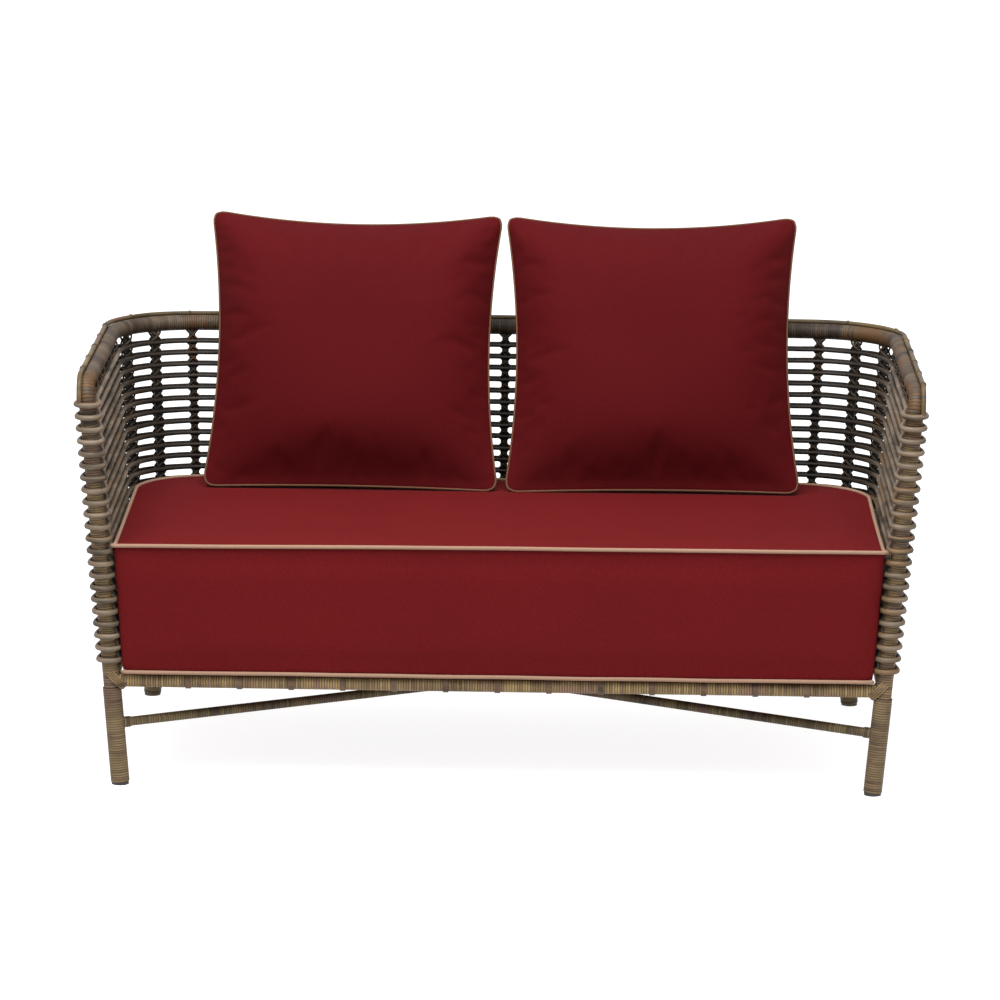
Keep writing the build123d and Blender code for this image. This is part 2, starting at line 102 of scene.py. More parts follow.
def wallPoint(z, distance):
    # a point of the wall's middle line and its outward direction, by distance from the back's middle
    side = math.copysign(1, distance)
    back, arc, arm = wallLengths(z)
    along = abs(distance)
    if along <= back:
        return Vector((side * along, frontY + backLine(z), z)), Vector((0, 1, 0))
    if along <= back + arc:
        turn = (along - back) / wall["cornerRadius"]
        x = back + wall["cornerRadius"] * math.sin(turn)
        y = backLine(z) - wall["cornerRadius"] * (1 - math.cos(turn))
        return Vector((side * x, frontY + y, z)), Vector((side * math.sin(turn), math.cos(turn), 0))
    left = arm - (along - back - arc)
    turn = armAngle(z)
    place = Vector((side * (halfWidth(z) + left * math.sin(turn)), frontY + left * math.cos(turn), z))
    return place, Vector((side * math.cos(turn), -math.sin(turn), 0))


def postPoint(side, z):
    return Vector((side * halfWidth(z), frontY, z))


def rearLegLine(side):
    back, arc, _ = wallLengths(wall["seatHeight"])
    top, _ = wallPoint(wall["seatHeight"], side * (back + arc / 2))
    foot = Vector((side * wall["rearFootHalfWidth"], frontY + wall["rearFootDepth"], floorZ))
    return foot, top


def alongLine(start, end, z):
    return start + (end - start) * ((z - start.z) / (end.z - start.z))


def railCorners(z):
    # a rail's corners, from the left post round the back to the right post
    x, y = wallCorner(z, 0)
    return [postPoint(-1, z), Vector((-x, frontY + y, z)), Vector((x, frontY + y, z)), postPoint(1, z)]


def mirrored(points):
    # the same places on the other side, in the other order
    return [Vector((-p.x, p.y, p.z)) for p in reversed(points)]


def clamped(value):
    return min(1, max(0, value))


def roundedPath(corners, radii, step, closed=False):
    # straight runs joined by arcs, as evenly spaced points; radii has one value for each corner turned
    count = len(corners)
    turned = range(count) if closed else range(1, count - 1)
    pieces = []
    if not closed:
        pieces.append([corners[0]])
    for index, radius in zip(turned, radii):
        corner = corners[index]
        back = (corners[index - 1] - corner).normalized()
        ahead = (corners[(index + 1) % count] - corner).normalized()
        turn = math.pi - back.angle(ahead)
        tangent = radius * math.tan(turn / 2)
        middle = corner + (back + ahead).normalized() * (radius / math.cos(turn / 2))
        start = corner + back * tangent - middle
        axis = start.cross(corner + ahead * tangent - middle).normalized()
        steps = max(2, math.ceil(radius * turn / step))
        arc = [middle + Matrix.Rotation(turn * k / steps, 3, axis) @ start for k in range(steps + 1)]
        pieces.append(arc)
    if not closed:
        pieces.append([corners[-1]])
    points = []
    for arc in pieces:
        if points or closed:
            before = points[-1] if points else pieces[-1][-1]
            run = arc[0] - before
            parts = max(1, math.ceil(run.length / step))
            points += [before + run * (k / parts) for k in range(1, parts)]
        points += arc
    return points


def pathLength(points):
    return sum((b - a).length for a, b in zip(points, points[1:]))


# Working steps used by many pieces

def deselectAll():
    bpy.ops.object.select_all(action='DESELECT')


def objectMode():
    bpy.ops.object.mode_set(mode='OBJECT')


def makeActive(piece):
    if bpy.context.mode != 'OBJECT':
        objectMode()
    deselectAll()
    piece.select_set(True)
    bpy.context.view_layer.objects.active = piece


def applyAll(piece):
    makeActive(piece)
    for modifier in list(piece.modifiers):
        bpy.ops.object.modifier_apply(modifier=modifier.name)


def placed():
    # the new primitive, with its place and size in its mesh
    bpy.ops.object.transform_apply(location=True, rotation=True, scale=True)
    return bpy.context.active_object


def refinePiece(piece):
    refine = piece.modifiers.new("refine", 'SUBSURF')
    refine.levels = 1
    refine.render_levels = 1
    applyAll(piece)


def editPiece(piece, kind, test, change, **values):
    # an edit mode operator on the vertices or edges whose places pass the test
    makeActive(piece)
    bpy.ops.object.mode_set(mode='EDIT')
    bpy.ops.mesh.select_mode(type=kind)
    bpy.ops.mesh.select_all(action='DESELECT')
    objectMode()
    verts = piece.data.vertices
    if kind == 'VERT':
        for vert in verts:
            vert.select = bool(test(vert.co))
    else:
        for edge in piece.data.edges:
            edge.select = bool(test(*(verts[k].co for k in edge.vertices)))
    bpy.ops.object.mode_set(mode='EDIT')
    change(**values)
    objectMode()


def closeEnds(piece):
    makeActive(piece)
    bpy.ops.object.mode_set(mode='EDIT')
    bpy.ops.mesh.select_mode(type='VERT')
    bpy.ops.mesh.select_all(action='DESELECT')
    bpy.ops.mesh.select_non_manifold()
    bpy.ops.mesh.fill_holes(sides=0)
    objectMode()


def shadeSmooth(piece, degrees=None):
    makeActive(piece)
    if degrees is None:
        bpy.ops.object.shade_smooth()
    else:
        bpy.ops.object.shade_smooth_by_angle(angle=math.radians(degrees))


def joinPieces(name, pieces):
    deselectAll()
    for piece in pieces:
        piece.select_set(True)
    bpy.context.view_layer.objects.active = pieces[0]
    bpy.ops.object.join()
    joined = bpy.context.view_layer.objects.active
    joined.name = name
    joined.data.name = name
    return joined


def removePiece(piece):
    bpy.data.objects.remove(piece, do_unlink=True)


def addObject(name, data):
    made = bpy.data.objects.new(name, data)
    bpy.context.scene.collection.objects.link(made)
    return made


def addRing(segments, sides, radius, thickness):
    bpy.ops.mesh.primitive_torus_add(major_segments=segments, minor_segments=sides, major_radius=radius,
                                     minor_radius=thickness)
    return bpy.context.active_object


def copiesOf(name, model, places):
    # one mesh that holds a copy of the model at each place, turned so that it faces as its matrix says
    verts = []
    faces = []
    source = [vert.co.copy() for vert in model.data.vertices]
    polygons = [tuple(face.vertices) for face in model.data.polygons]
    for place in places:
        first = len(verts)
        verts += [place @ point for point in source]
        faces += [tuple(first + index for index in face) for face in polygons]
    mesh = bpy.data.meshes.new(name)
    mesh.from_pydata([tuple(point) for point in verts], [], faces)
    mesh.update()
    piece = addObject(name, mesh)
    shadeSmooth(piece)
    return piece


def layPath(name, points, closed=False):
    line = bpy.data.curves.new(name, 'CURVE')
    line.dimensions = '3D'
    spline = line.splines.new('POLY')
    spline.points.add(len(points) - 1)
    for place, point in zip(spline.points, points):
        place.co = (*point, 1)
    spline.use_cyclic_u = closed
    return addObject(name, line)


def roundStrand(name, points, radius, closed=False, fineness=2, thickness=None):
    # a round strand along a path, as a closed mesh; thickness gives each point's share of the radius
    strand = layPath(name, points, closed)
    if thickness:
        for place, point in zip(strand.data.splines[0].points, points):
            place.radius = thickness(point)
    strand.data.bevel_depth = radius
    strand.data.bevel_resolution = fineness
    strand.data.use_fill_caps = not closed
    makeActive(strand)
    bpy.ops.object.convert(target='MESH')
    strand = bpy.context.view_layer.objects.active
    shadeSmooth(strand)
    return strand


def giveFinish(piece, finish):
    piece.data.materials.clear()
    piece.data.materials.append(materials[finish])


def dress(piece, finish, body, slotName, *nodes):
    # the finish, the body that carries the piece, and the nodes it stands for
    giveFinish(piece, finish)
    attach(piece, body)
    if nodes:
        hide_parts(*nodes)


# Materials

def fromHex(code):
    parts = [int(code[k:k + 2], 16) / 255 for k in (0, 2, 4)]
    linear = [c / 12.92 if c <= 0.04045 else ((c + 0.055) / 1.055) ** 2.4 for c in parts]
    return (*linear, 1.0)


def feed(tree, socket, value):
    # a plain value is set on the socket, another node's output is linked to it
    if isinstance(value, (int, float, tuple)):
        socket.default_value = value
    elif value is not None:
        tree.links.new(value, socket)


def mathNode(tree, operation, first, second=None):
    node = tree.nodes.new('ShaderNodeMath')
    node.operation = operation
    feed(tree, node.inputs[0], first)
    feed(tree, node.inputs[1], second)
    return node.outputs[0]


def scaled(tree, value, factor, shift=None):
    # value times factor, plus the shift where one is given
    product = mathNode(tree, 'MULTIPLY', value, factor)
    return product if shift is None else mathNode(tree, 'ADD', product, shift)


def mixColours(tree, share, first, second):
    node = tree.nodes.new('ShaderNodeMix')
    node.data_type = 'RGBA'
    for number, value in ((0, share), (6, first), (7, second)):
        feed(tree, node.inputs[number], value)
    return node.outputs[2]


def noiseNode(tree, vector, scale, detail=2.0, roughness=0.5):
    node = tree.nodes.new('ShaderNodeTexNoise')
    values = {'Vector': vector, 'Scale': scale, 'Detail': detail, 'Roughness': roughness}
    for socket, value in values.items():
        feed(tree, node.inputs[socket], value)
    return node.outputs['Fac']


def stretched(tree, vector, scale):
    node = tree.nodes.new('ShaderNodeMapping')
    node.inputs['Scale'].default_value = scale
    tree.links.new(vector, node.inputs['Vector'])
    return node.outputs['Vector']


def splitVector(tree, vector):
    node = tree.nodes.new('ShaderNodeSeparateXYZ')
    tree.links.new(vector, node.inputs[0])
    return node.outputs


def ramp(tree, value, low, high):
    # 0 below low, 1 above high, smooth between
    node = tree.nodes.new('ShaderNodeMapRange')
    node.interpolation_type = 'SMOOTHSTEP'
    node.inputs['From Min'].default_value = low
    node.inputs['From Max'].default_value = high
    tree.links.new(value, node.inputs['Value'])
    return node.outputs['Result']


toneNames = ["Light", "Middle", "Dark", "Accent"]


def newGroup(name, vectors, colours, number, value):
    # an empty group: its vectors and colours, one number with its value, and what it gives a material
    group = bpy.data.node_groups.new(name, 'ShaderNodeTree')
    for socket in vectors:
        group.interface.new_socket(socket, in_out='INPUT', socket_type='NodeSocketVector')
    for socket in colours:
        group.interface.new_socket(socket, in_out='INPUT', socket_type='NodeSocketColor')
    made = group.interface.new_socket(number, in_out='INPUT', socket_type='NodeSocketFloat')
    made.default_value = value
    group.interface.new_socket("Colour", in_out='OUTPUT', socket_type='NodeSocketColor')
    for socket in ("Roughness", "Height"):
        group.interface.new_socket(socket, in_out='OUTPUT', socket_type='NodeSocketFloat')
    return group, group.nodes.new('NodeGroupInput').outputs


def finishGroup(group, colour, roughness, height):
    end = group.nodes.new('NodeGroupOutput')
    for socket, value in (("Colour", colour), ("Roughness", roughness), ("Height", height)):
        group.links.new(value, end.inputs[socket])
    return group


def strandColour(group, start, tone, middle, light, accentTone, accent):
    # from dark to middle and to light between these limits of the tone, with accents over them
    colour = mixColours(group, ramp(group, tone, *middle), start["Dark"], start["Middle"])
    colour = mixColours(group, ramp(group, tone, *light), colour, start["Light"])
    return mixColours(group, ramp(group, accentTone, *accent), colour, start["Accent"])


woundLook = {
    "patchScale": 16.0,
    "accentScale": 11.0,
    "turnTone": 0.28,       # how far a turn's tone may stand from its neighbour's
    "turnAccent": 0.14,
    # painted shade in the gap between turns: where it starts and how dark it gets
    "gap": (0.22, 0.46),
    "gapShade": 0.8,
    "grain": (3.7, 5.0, 2.5),
    "streaks": 0.35,
}


def woundStrandGroup():
    # colour of flat strand wound round a tube, with painted shade in the gaps between turns: UV u counts
    # the turns, v runs round the tube
    look = woundLook
    group, start = newGroup("woundStrand", ["Turns", "Place"], toneNames, "Contrast", 1.0)
    along, around, _ = splitVector(group, start["Turns"])
    number = mathNode(group, 'FLOOR', along)
    across = mathNode(group, 'FRACT', along)
    chance = group.nodes.new('ShaderNodeTexWhiteNoise')
    chance.noise_dimensions = '1D'
    group.links.new(number, chance.inputs['W'])
    spread = scaled(group, mathNode(group, 'SUBTRACT', chance.outputs['Value'], 0.5), start["Contrast"])
    patch = noiseNode(group, start["Place"], look["patchScale"], 3.0)
    tone = scaled(group, spread, look["turnTone"], patch)
    broad = noiseNode(group, start["Place"], look["accentScale"], 1.0)
    accent = scaled(group, spread, look["turnAccent"], broad)
    colour = strandColour(group, start, tone, (0.25, 0.5), (0.44, 0.66), accent, (0.55, 0.62))
    # painted shade: each turn darkens towards its edges, in the groove between turns; the gap also sinks
    # the bump
    edge = mathNode(group, 'ABSOLUTE', mathNode(group, 'SUBTRACT', across, 0.5))
    gap = ramp(group, edge, *look["gap"])
    colour = mixColours(group, scaled(group, gap, look["gapShade"]), colour, (0.012, 0.008, 0.005, 1.0))
    combine = group.nodes.new('ShaderNodeCombineXYZ')
    for socket, value, factor in zip(combine.inputs, (number, around, across), look["grain"]):
        group.links.new(scaled(group, value, factor), socket)
    grain = noiseNode(group, combine.outputs[0], 6.0, 3.0, 0.6)
    streaks = scaled(group, ramp(group, grain, 0.52, 0.8), look["streaks"])
    colour = mixColours(group, streaks, colour, start["Dark"])
    height = mathNode(group, 'SUBTRACT', scaled(group, grain, 0.3), gap)
    return finishGroup(group, colour, scaled(group, grain, 0.25, 0.40), height)


roundLook = {
    "patchStretch": (1.0, 1.0, 5.5),
    "patchScale": 11.0,
    "accentStretch": (1.0, 1.0, 9.0),
    "accentScale": 6.5,
    "scratchStretch": (40.0, 40.0, 620.0),
    "scratches": 0.4,
    # where the painted shade falls: how far back, and on which sides
    "shadeDepth": (0.12, 0.30),
    "shadeFacing": (-0.9, -0.3),
}


def roundStrandGroup():
    # colour of round strand and lashing, by place: patches along the weave with fine scratches, and painted
    # shade towards the back
    look = roundLook
    group, start = newGroup("roundStrand", ["Place", "Facing"], toneNames, "Shade", 0.0)
    place = start["Place"]
    patch = noiseNode(group, stretched(group, place, look["patchStretch"]), look["patchScale"], 3.0)
    broad = noiseNode(group, stretched(group, place, look["accentStretch"]), look["accentScale"], 1.0)
    colour = strandColour(group, start, patch, (0.32, 0.5), (0.5, 0.68), broad, (0.6, 0.68))
    grain = noiseNode(group, stretched(group, place, look["scratchStretch"]), 1.0, 3.0, 0.6)
    scratches = scaled(group, ramp(group, grain, 0.5, 0.75), look["scratches"])
    colour = mixColours(group, scratches, colour, start["Dark"])
    # painted shade: all but the outer side is darker towards the back, as the inside of the wall lies in
    # shade
    depth = ramp(group, splitVector(group, place)[1], *look["shadeDepth"])
    inward = scaled(group, splitVector(group, start["Facing"])[1], -1.0)
    shade = mathNode(group, 'MULTIPLY', depth, ramp(group, inward, *look["shadeFacing"]))
    colour = mixColours(group, scaled(group, shade, start["Shade"]), colour, (0.010, 0.007, 0.005, 1.0))
    return finishGroup(group, colour, scaled(group, grain, 0.3, 0.36), grain)


clothLook = {
    "weft": (160.0, 900.0, 900.0),
    "warp": (1000.0, 150.0, 150.0),
    "threadShare": 0.5,
    "fade": 0.3,
    "fadeScale": 5.0,
}


def wovenClothGroup():
    # plain outdoor canvas: threads across and up, and soft shade patches
    look = clothLook
    group, start = newGroup("wovenCloth", ["Place"], ["Base", "Thread"], "Size", 1.0)
    weft, warp = (noiseNode(group, stretched(group, start["Place"], look[k]), start["Size"], 1.0)
                  for k in ("weft", "warp"))
    threads = mathNode(group, 'MAXIMUM', weft, warp)
    fade = scaled(group, noiseNode(group, start["Place"], look["fadeScale"], 2.0), look["fade"])
    lift = scaled(group, ramp(group, threads, 0.45, 0.75), look["threadShare"], fade)
    colour = mixColours(group, lift, start["Base"], start["Thread"])
    return finishGroup(group, colour, scaled(group, threads, 0.2, 0.72), threads)


surfaces = {
    "wound": {"group": woundStrandGroup(), "colours": toneNames, "number": "Contrast",
              "relief": 0.3 * mm, "gloss": 0.2},
    "round": {"group": roundStrandGroup(), "colours": toneNames, "number": "Shade",
              "relief": 0.2 * mm, "gloss": 0.2},
    "cloth": {"group": wovenClothGroup(), "colours": ["Base", "Thread"], "number": "Size",
              "relief": 0.4 * mm, "gloss": 0.04},
}


def newMaterial(name):
    material = bpy.data.materials.new(name)
    material.use_nodes = True
    tree = material.node_tree
    coordinates = tree.nodes.new('ShaderNodeTexCoord').outputs
    return material, tree, tree.nodes['Principled BSDF'].inputs, coordinates


def addRelief(tree, shader, height, strength, distance):
    relief = tree.nodes.new('ShaderNodeBump')
    relief.inputs['Strength'].default_value = strength
    relief.inputs['Distance'].default_value = distance
    tree.links.new(height, relief.inputs['Height'])
    tree.links.new(relief.outputs['Normal'], shader['Normal'])


def strandOrCloth(name, kind, codes, number, bump):
    # a finish from one of the groups, with its own colours and its own value for the group's number
    surface = surfaces[kind]
    material, tree, shader, coordinates = newMaterial(name)
    box = tree.nodes.new('ShaderNodeGroup')
    box.node_tree = surface["group"]
    for socket, coordinate in (("Place", 'Object'), ("Turns", 'UV'), ("Facing", 'Normal')):
        if socket in box.inputs:
            tree.links.new(coordinates[coordinate], box.inputs[socket])
    for socket, code in zip(surface["colours"], codes):
        box.inputs[socket].default_value = fromHex(code)
    box.inputs[surface["number"]].default_value = number
    tree.links.new(box.outputs["Colour"], shader['Base Color'])
    tree.links.new(box.outputs["Roughness"], shader['Roughness'])
    shader['Specular IOR Level'].default_value = surface["gloss"]
    addRelief(tree, shader, box.outputs["Height"], bump, surface["relief"])
    return material


def plainFinish(name, base, worn, scale, metallic, roughness):
    # moulded plastic or painted tube: fine texture, scuffs and dust
    material, tree, shader, coordinates = newMaterial(name)
    speck = noiseNode(tree, coordinates['Object'], scale, 4.0, 0.7)
    cloud = noiseNode(tree, coordinates['Object'], 22.0, 2.0)
    scuff = mathNode(tree, 'MULTIPLY', ramp(tree, speck, 0.52, 0.72), ramp(tree, cloud, 0.4, 0.7))
    tree.links.new(mixColours(tree, scuff, fromHex(base), fromHex(worn)), shader['Base Color'])
    tree.links.new(scaled(tree, speck, 0.3, roughness - 0.12), shader['Roughness'])
    shader['Metallic'].default_value = metallic
    addRelief(tree, shader, speck, 0.25, 0.2 * mm)
    return material


finishes = {      # light, middle, dark and accent tone, contrast or share of painted shade, bump
    "post": ("post strand", "wound", ("745f3f", "625036", "463724", "5b483a"), 1.0, 0.5),
    # the leg strand is the post strand darkened: painted shade on the front legs near the floor
    "leg": ("leg strand", "wound", ("635238", "54442f", "3b2e20", "533f30"), 1.0, 0.5),
    "rail": ("rail strand", "wound", ("4d4032", "392e23", "221a13", "4b331b"), 0.9, 0.5),
    # the seat rail strand is lightened: painted light on the seat rails under the cushion's overhang
    "seat": ("seat rail strand", "wound", ("806b47", "6c583b", "4f3f2a", "6f5544"), 0.9, 0.5),
    "stretcher": ("stretcher strand", "wound", ("5e5034", "4b3d27", "30271a", "4b392e"), 1.0, 0.5),
    # rods, stakes and lashings darken at the back of the wall by their share of painted shade
    "rods": ("wall rods", "round", ("6a5d4f", "564a3d", "31291f", "5a4630"), 0.94, 0.35),
    "stakes": ("stakes", "round", ("41352a", "2f261d", "1d1712", "5b3a18"), 0.68, 0.35),
    "lashings": ("lashing strand", "round", ("4a3d2d", "362c21", "211b15", "54381f"), 0.55, 0.4),
    "cane": ("rim cane", "round", ("56472d", "443722", "2a2116", "4d3628"), 0.0, 0.35),
    "binding": ("joint bindings", "round", ("745f3f", "625036", "463724", "5b483a"), 0.0, 0.4),
    "straps": ("deck straps", "round", ("5c4839", "4c3a2d", "33271c", "55402f"), 0.0, 0.4),
    # base and thread, thread size, bump
    "cover": ("burgundy canvas", "cloth", ("440b0c", "571113"), 1.0, 0.3),
    # the pillow canvas is the cover's cloth darkened: painted shade on the pillows' faces
    "pillow": ("burgundy pillow canvas", "cloth", ("370608", "460a0d"), 1.1, 0.3),
    "piping": ("tan piping", "cloth", ("745c4d", "876c5a"), 1.6, 0.4),
    "thinPiping": ("pillow piping", "cloth", ("4b3325", "604434"), 1.6, 0.4),
    "zipTape": ("zip tape", "cloth", ("2a0709", "380c0f"), 1.8, 0.5),
}
materials = {key: strandOrCloth(*values) for key, values in finishes.items()}
materials["zipTape"].node_tree.nodes['Principled BSDF'].inputs['Sheen Weight'].default_value = 0.03
materials["zipMetal"] = plainFinish("zip slider", "5b5048", "8c8074", 400.0, 0.9, 0.4)
materials["tube"] = plainFinish("painted tube", "2c2319", "4c4133", 300.0, 0.55, 0.45)
materials["glide"] = plainFinish("moulded glide", "121110", "38352f", 260.0, 0.0, 0.5)
print("materials: made")


# Strand wound round the frame's tubes

windings = {
    "post": {"width": 4.2 * mm, "sink": 0.6 * mm, "sides": 18},
    "leg": {"width": 4.2 * mm, "sink": 0.6 * mm, "sides": 18},
    "rail": {"width": 4.4 * mm, "sink": 0.5 * mm, "sides": 16},
    "seat": {"width": 4.4 * mm, "sink": 0.5 * mm, "sides": 16},
    "stretcher": {"width": 4.4 * mm, "sink": 0.5 * mm, "sides": 12},
    "step": 6 * mm,
    "uvMargin": 0.02,
}
tubeRadius = 12.5 * mm
postOuter = 14 * mm
legOuter = 16 * mm
seatOuter = 11.5 * mm
stretcherOuter = 8.2 * mm
collarOuter = 9.6 * mm


def windStrand(name, points, radius, kind):
    # one turn of strand, repeated along the path and bent to it
    settings = windings[kind]
    length = pathLength(points)
    turns = max(1, round(length / settings["width"]))
    width = length / turns
    bpy.ops.mesh.primitive_cylinder_add(vertices=settings["sides"], radius=radius, depth=width,
                                        end_fill_type='NOTHING', location=(0, 0, width / 2))
    turn = placed()
    turn.name = name
    editPiece(turn, 'EDGE', lambda a, b: abs(a.z - b.z) > width / 2, bpy.ops.mesh.subdivide, number_cuts=1)
    shrink = 1 - settings["sink"] / radius
    editPiece(turn, 'VERT', lambda p: abs(p.z - width / 2) > width / 4, bpy.ops.transform.resize,
              value=(shrink, shrink, 1))
    editPiece(turn, 'EDGE', lambda a, b: abs(a.z - b.z) < width / 8 and abs(a.z - width / 2) > width / 4,
              bpy.ops.mesh.mark_sharp)
    countTurns(turn, width)
    shadeSmooth(turn)
    array = turn.modifiers.new("turns", 'ARRAY')
    array.count = turns
    array.use_relative_offset = False
    array.use_constant_offset = True
    array.constant_offset_displace = (0, 0, width)
    array.use_merge_vertices = True
    array.merge_threshold = width / 50
    array.offset_u = 1.0
    path = layPath(name + "_path", points)
    bend = turn.modifiers.new("bend", 'CURVE')
    bend.object = path
    bend.deform_axis = 'POS_Z'
    applyAll(turn)
    removePiece(path)
    closeEnds(turn)
    return turn


def countTurns(turn, width):
    # UV of one turn: u runs across the strand, v round the tube
    layer = turn.data.uv_layers.active
    places = turn.data.vertices
    margin = windings["uvMargin"]
    for face in turn.data.polygons:
        middle = math.atan2(face.center.y, face.center.x)
        for loop in face.loop_indices:
            point = places[turn.data.loops[loop].vertex_index].co
            angle = math.atan2(point.y, point.x)
            angle -= 2 * math.pi * round((angle - middle) / (2 * math.pi))
            u = margin + (1 - 2 * margin) * point.z / width
            layer.data[loop].uv = (u, angle / (2 * math.pi) + 1)


def straightPoints(start, end):
    count = max(2, math.ceil((end - start).length / windings["step"]))
    return [start + (end - start) * (k / count) for k in range(count + 1)]


def windTube(name, points, radius, kind, node, finish=None):
    dress(windStrand(name, points, radius, kind), finish or kind, "frame", "resin_strand", node)


def windFrontPost(side, name):
    foot = postPoint(side, wall["glideHeight"])
    step = postPoint(side, wall["seatHeight"] - seatOuter)
    top = postPoint(side, jointHeight)
    node = f"front_post_wrap_{name}"
    # below the seat rail the post takes the darker leg strand, painted shade
    windTube(f"front_leg_winding_{name}", straightPoints(foot, step), legOuter, "leg", node)
    windTube(f"post_winding_{name}", straightPoints(step, top), postOuter, "post", node)


def windRearLeg(side, name):
    foot, top = rearLegLine(side)
    low = alongLine(foot, top, wall["glideHeight"])
    high = alongLine(foot, top, wall["seatHeight"] - seatOuter / 2)
    windTube(f"leg_winding_{name}", straightPoints(low, high), legOuter, "leg",
             f"rear_leg_wrap_{name}", "stretcher")


def windTopRail():
    corners = [postPoint(-1, jointHeight), *railCorners(wall["railHeight"]), postPoint(1, jointHeight)]
    bend, corner = wall["bendRadius"], wall["cornerRadius"]
    points = roundedPath(corners, [bend, corner, corner, bend], windings["step"])
    windTube("top_rail_winding", points, postOuter, "rail", "top_rail_wrap")


def windSeatRails():
    corners = railCorners(wall["seatHeight"])
    points = straightPoints(corners[0], corners[-1])
    # both seat rails take the lightened seat strand, painted light
    windTube("seat_rail_front_winding", points, seatOuter, "seat", "seat_rail_front_wrap")
    points = roundedPath(corners, [wall["cornerRadius"]] * 2, windings["step"])
    windTube("seat_rail_back_winding", points, seatOuter, "seat", "seat_rail_back_wrap")


stretchers = {
    "frontHeight": 0.104,
    "rearHeight": 0.130,
    "collarLength": 11 * mm,
    "crossingGap": 0.4 * mm,
}


def stretcherLine(side):
    front = postPoint(side, stretchers["frontHeight"])
    foot, top = rearLegLine(-side)
    return front, alongLine(foot, top, stretchers["rearHeight"])


def windStretcher(name, first, last, collared, node):
    # collared lists the ends that meet a leg, 0 for the first and 1 for the last, and get a thicker collar
    reach = (last - first).normalized() * (legOuter + stretchers["collarLength"])
    ends = [(first, first + reach), (last - reach, last)]
    parts = [windStrand(name, straightPoints(first, last), stretcherOuter, "stretcher")]
    for end in collared:
        parts.append(windStrand("collar", straightPoints(*ends[end]), collarOuter, "stretcher"))
    dress(joinPieces(name, parts), "stretcher", "frame", "resin_strand", node)


def windStretchers():
    start, end = stretcherLine(1)
    windStretcher("stretcher_long_winding", start, end, [0, 1], "stretcher_long_wrap")
    crossing = start + (end - start) * (start.x / (start.x - end.x))
    start, end = stretcherLine(-1)
    clear = (end - start).normalized() * (2 * stretcherOuter + stretchers["crossingGap"])
    windStretcher("stretcher_front_winding", start, crossing - clear / 2, [0], "stretcher_short_front_wrap")
    windStretcher("stretcher_rear_winding", crossing + clear / 2, end, [1], "stretcher_short_rear_wrap")


for side, name in ((-1, "left"), (1, "right")):
    windFrontPost(side, name)
    windRearLeg(side, name)
windTopRail()
windSeatRails()
windStretchers()
print("windings: posts, legs, rails and stretchers")


# Rim cane and its ties

cane = {
    "radius": 4.25 * mm,
    "gap": 0.2 * mm,
    "elevation": 57,
    "endHeight": 0.6484,
    "step": 8 * mm,
    "waver": 0.5 * mm,
    "waverRate": 14.0,
    "tiePitch": 118 * mm,
    "tieReach": 4.7 * mm,
    "tieRadius": 1.0 * mm,
    "tieSpread": (0.9, 1.2),
}


def layRimCane():
    away = postOuter + cane["radius"] + cane["gap"]
    slope = math.radians(cane["elevation"])
    reach = away * math.cos(slope)
    ahead = away / math.sqrt(2)
    z = wall["railHeight"] + away * math.sin(slope)
    xFront = armFrontX(wall["railHeight"], reach)
    x, y = wallCorner(wall["railHeight"], reach)
    lowX = xFront + ahead - reach - wall["sideLean"] * (z - cane["endHeight"])
    right = [Vector((x, frontY + y, z)), Vector((xFront, frontY - ahead, z)),
             Vector((lowX, frontY - ahead, cane["endHeight"]))]
    bend, corner = wall["bendRadius"] + ahead, wall["cornerRadius"] + reach
    points = roundedPath(mirrored(right) + right, [bend, corner, corner, bend], cane["step"])
    for point in points:
        point.z += cane["waver"] * noise.noise(point * cane["waverRate"])
    dress(roundStrand("rim_cane_strand", points, cane["radius"], fineness=3),
          "cane", "frame", "resin_rod", "rim_cane")
    return points


def tieCane(points):
    # thin turns of strand round the cane, in pairs
    model = addRing(12, 4, cane["tieReach"], cane["tieRadius"])
    places = []
    spacing = max(1, round(cane["tiePitch"] / cane["step"]))
    for index in range(spacing, len(points) - 1, spacing):
        along = (points[index + 1] - points[index]).normalized()
        turn = along.to_track_quat('Z', 'Y').to_matrix().to_4x4()
        for shift in (-1, 1):
            place = points[index] + along * (shift * cane["tieRadius"] * random.uniform(*cane["tieSpread"]))
            places.append(Matrix.Translation(place) @ turn)
    dress(copiesOf("cane_ties", model, places), "cane", "frame", "resin_rod")
    removePiece(model)


tieCane(layRimCane())
print("cane: laid along the rail and tied")


# Woven wall: stakes, rods and lashings

weave = {
    "stakePitch": 71.3 * mm,
    "stakeHalfWidth": 6.4 * mm,
    "stakeHalfDepth": 6.0 * mm,
    "stakeSpread": (0.94, 1.04),
    "stakeCuts": 9,
    "stakeEndShare": 0.9,
    "rodRadius": 4.5 * mm,
    "backShare": 0.74,           # the rods look thinner along the back
    "thinFrom": 0.58,
    "thinTo": 0.70,
    "rodTop": 0.644,
    "rodBottom": 0.214,
    "rodCount": 22,
    "rodOffset": 10.4 * mm,
    "loopOffset": 18.6 * mm,
    "loopStraight": 10 * mm,
    "loopTaper": 52 * mm,
    "loopSteps": 10,
    "taperRadius": 80 * mm,
    "rodStep": 11 * mm,
    "rodWaver": 0.7 * mm,
    "waverRate": 21.0,
    "waverShift": 90.0,          # keeps one row's waver unlike the next
    "lashRadius": 1.8 * mm,
    "lashReach": 10.6 * mm,
    "lashDepth": 8.4 * mm,
    "lashSpread": (0.92, 1.08),
    "armLashShare": 1.2,
}


def rowHeights():
    pitch = (weave["rodTop"] - weave["rodBottom"]) / (weave["rodCount"] - 1)
    return [weave["rodBottom"] + pitch * k for k in range(weave["rodCount"])]


def stakeLimit():
    return round(sum(wallLengths(wall["railHeight"])) / weave["stakePitch"]) - 1


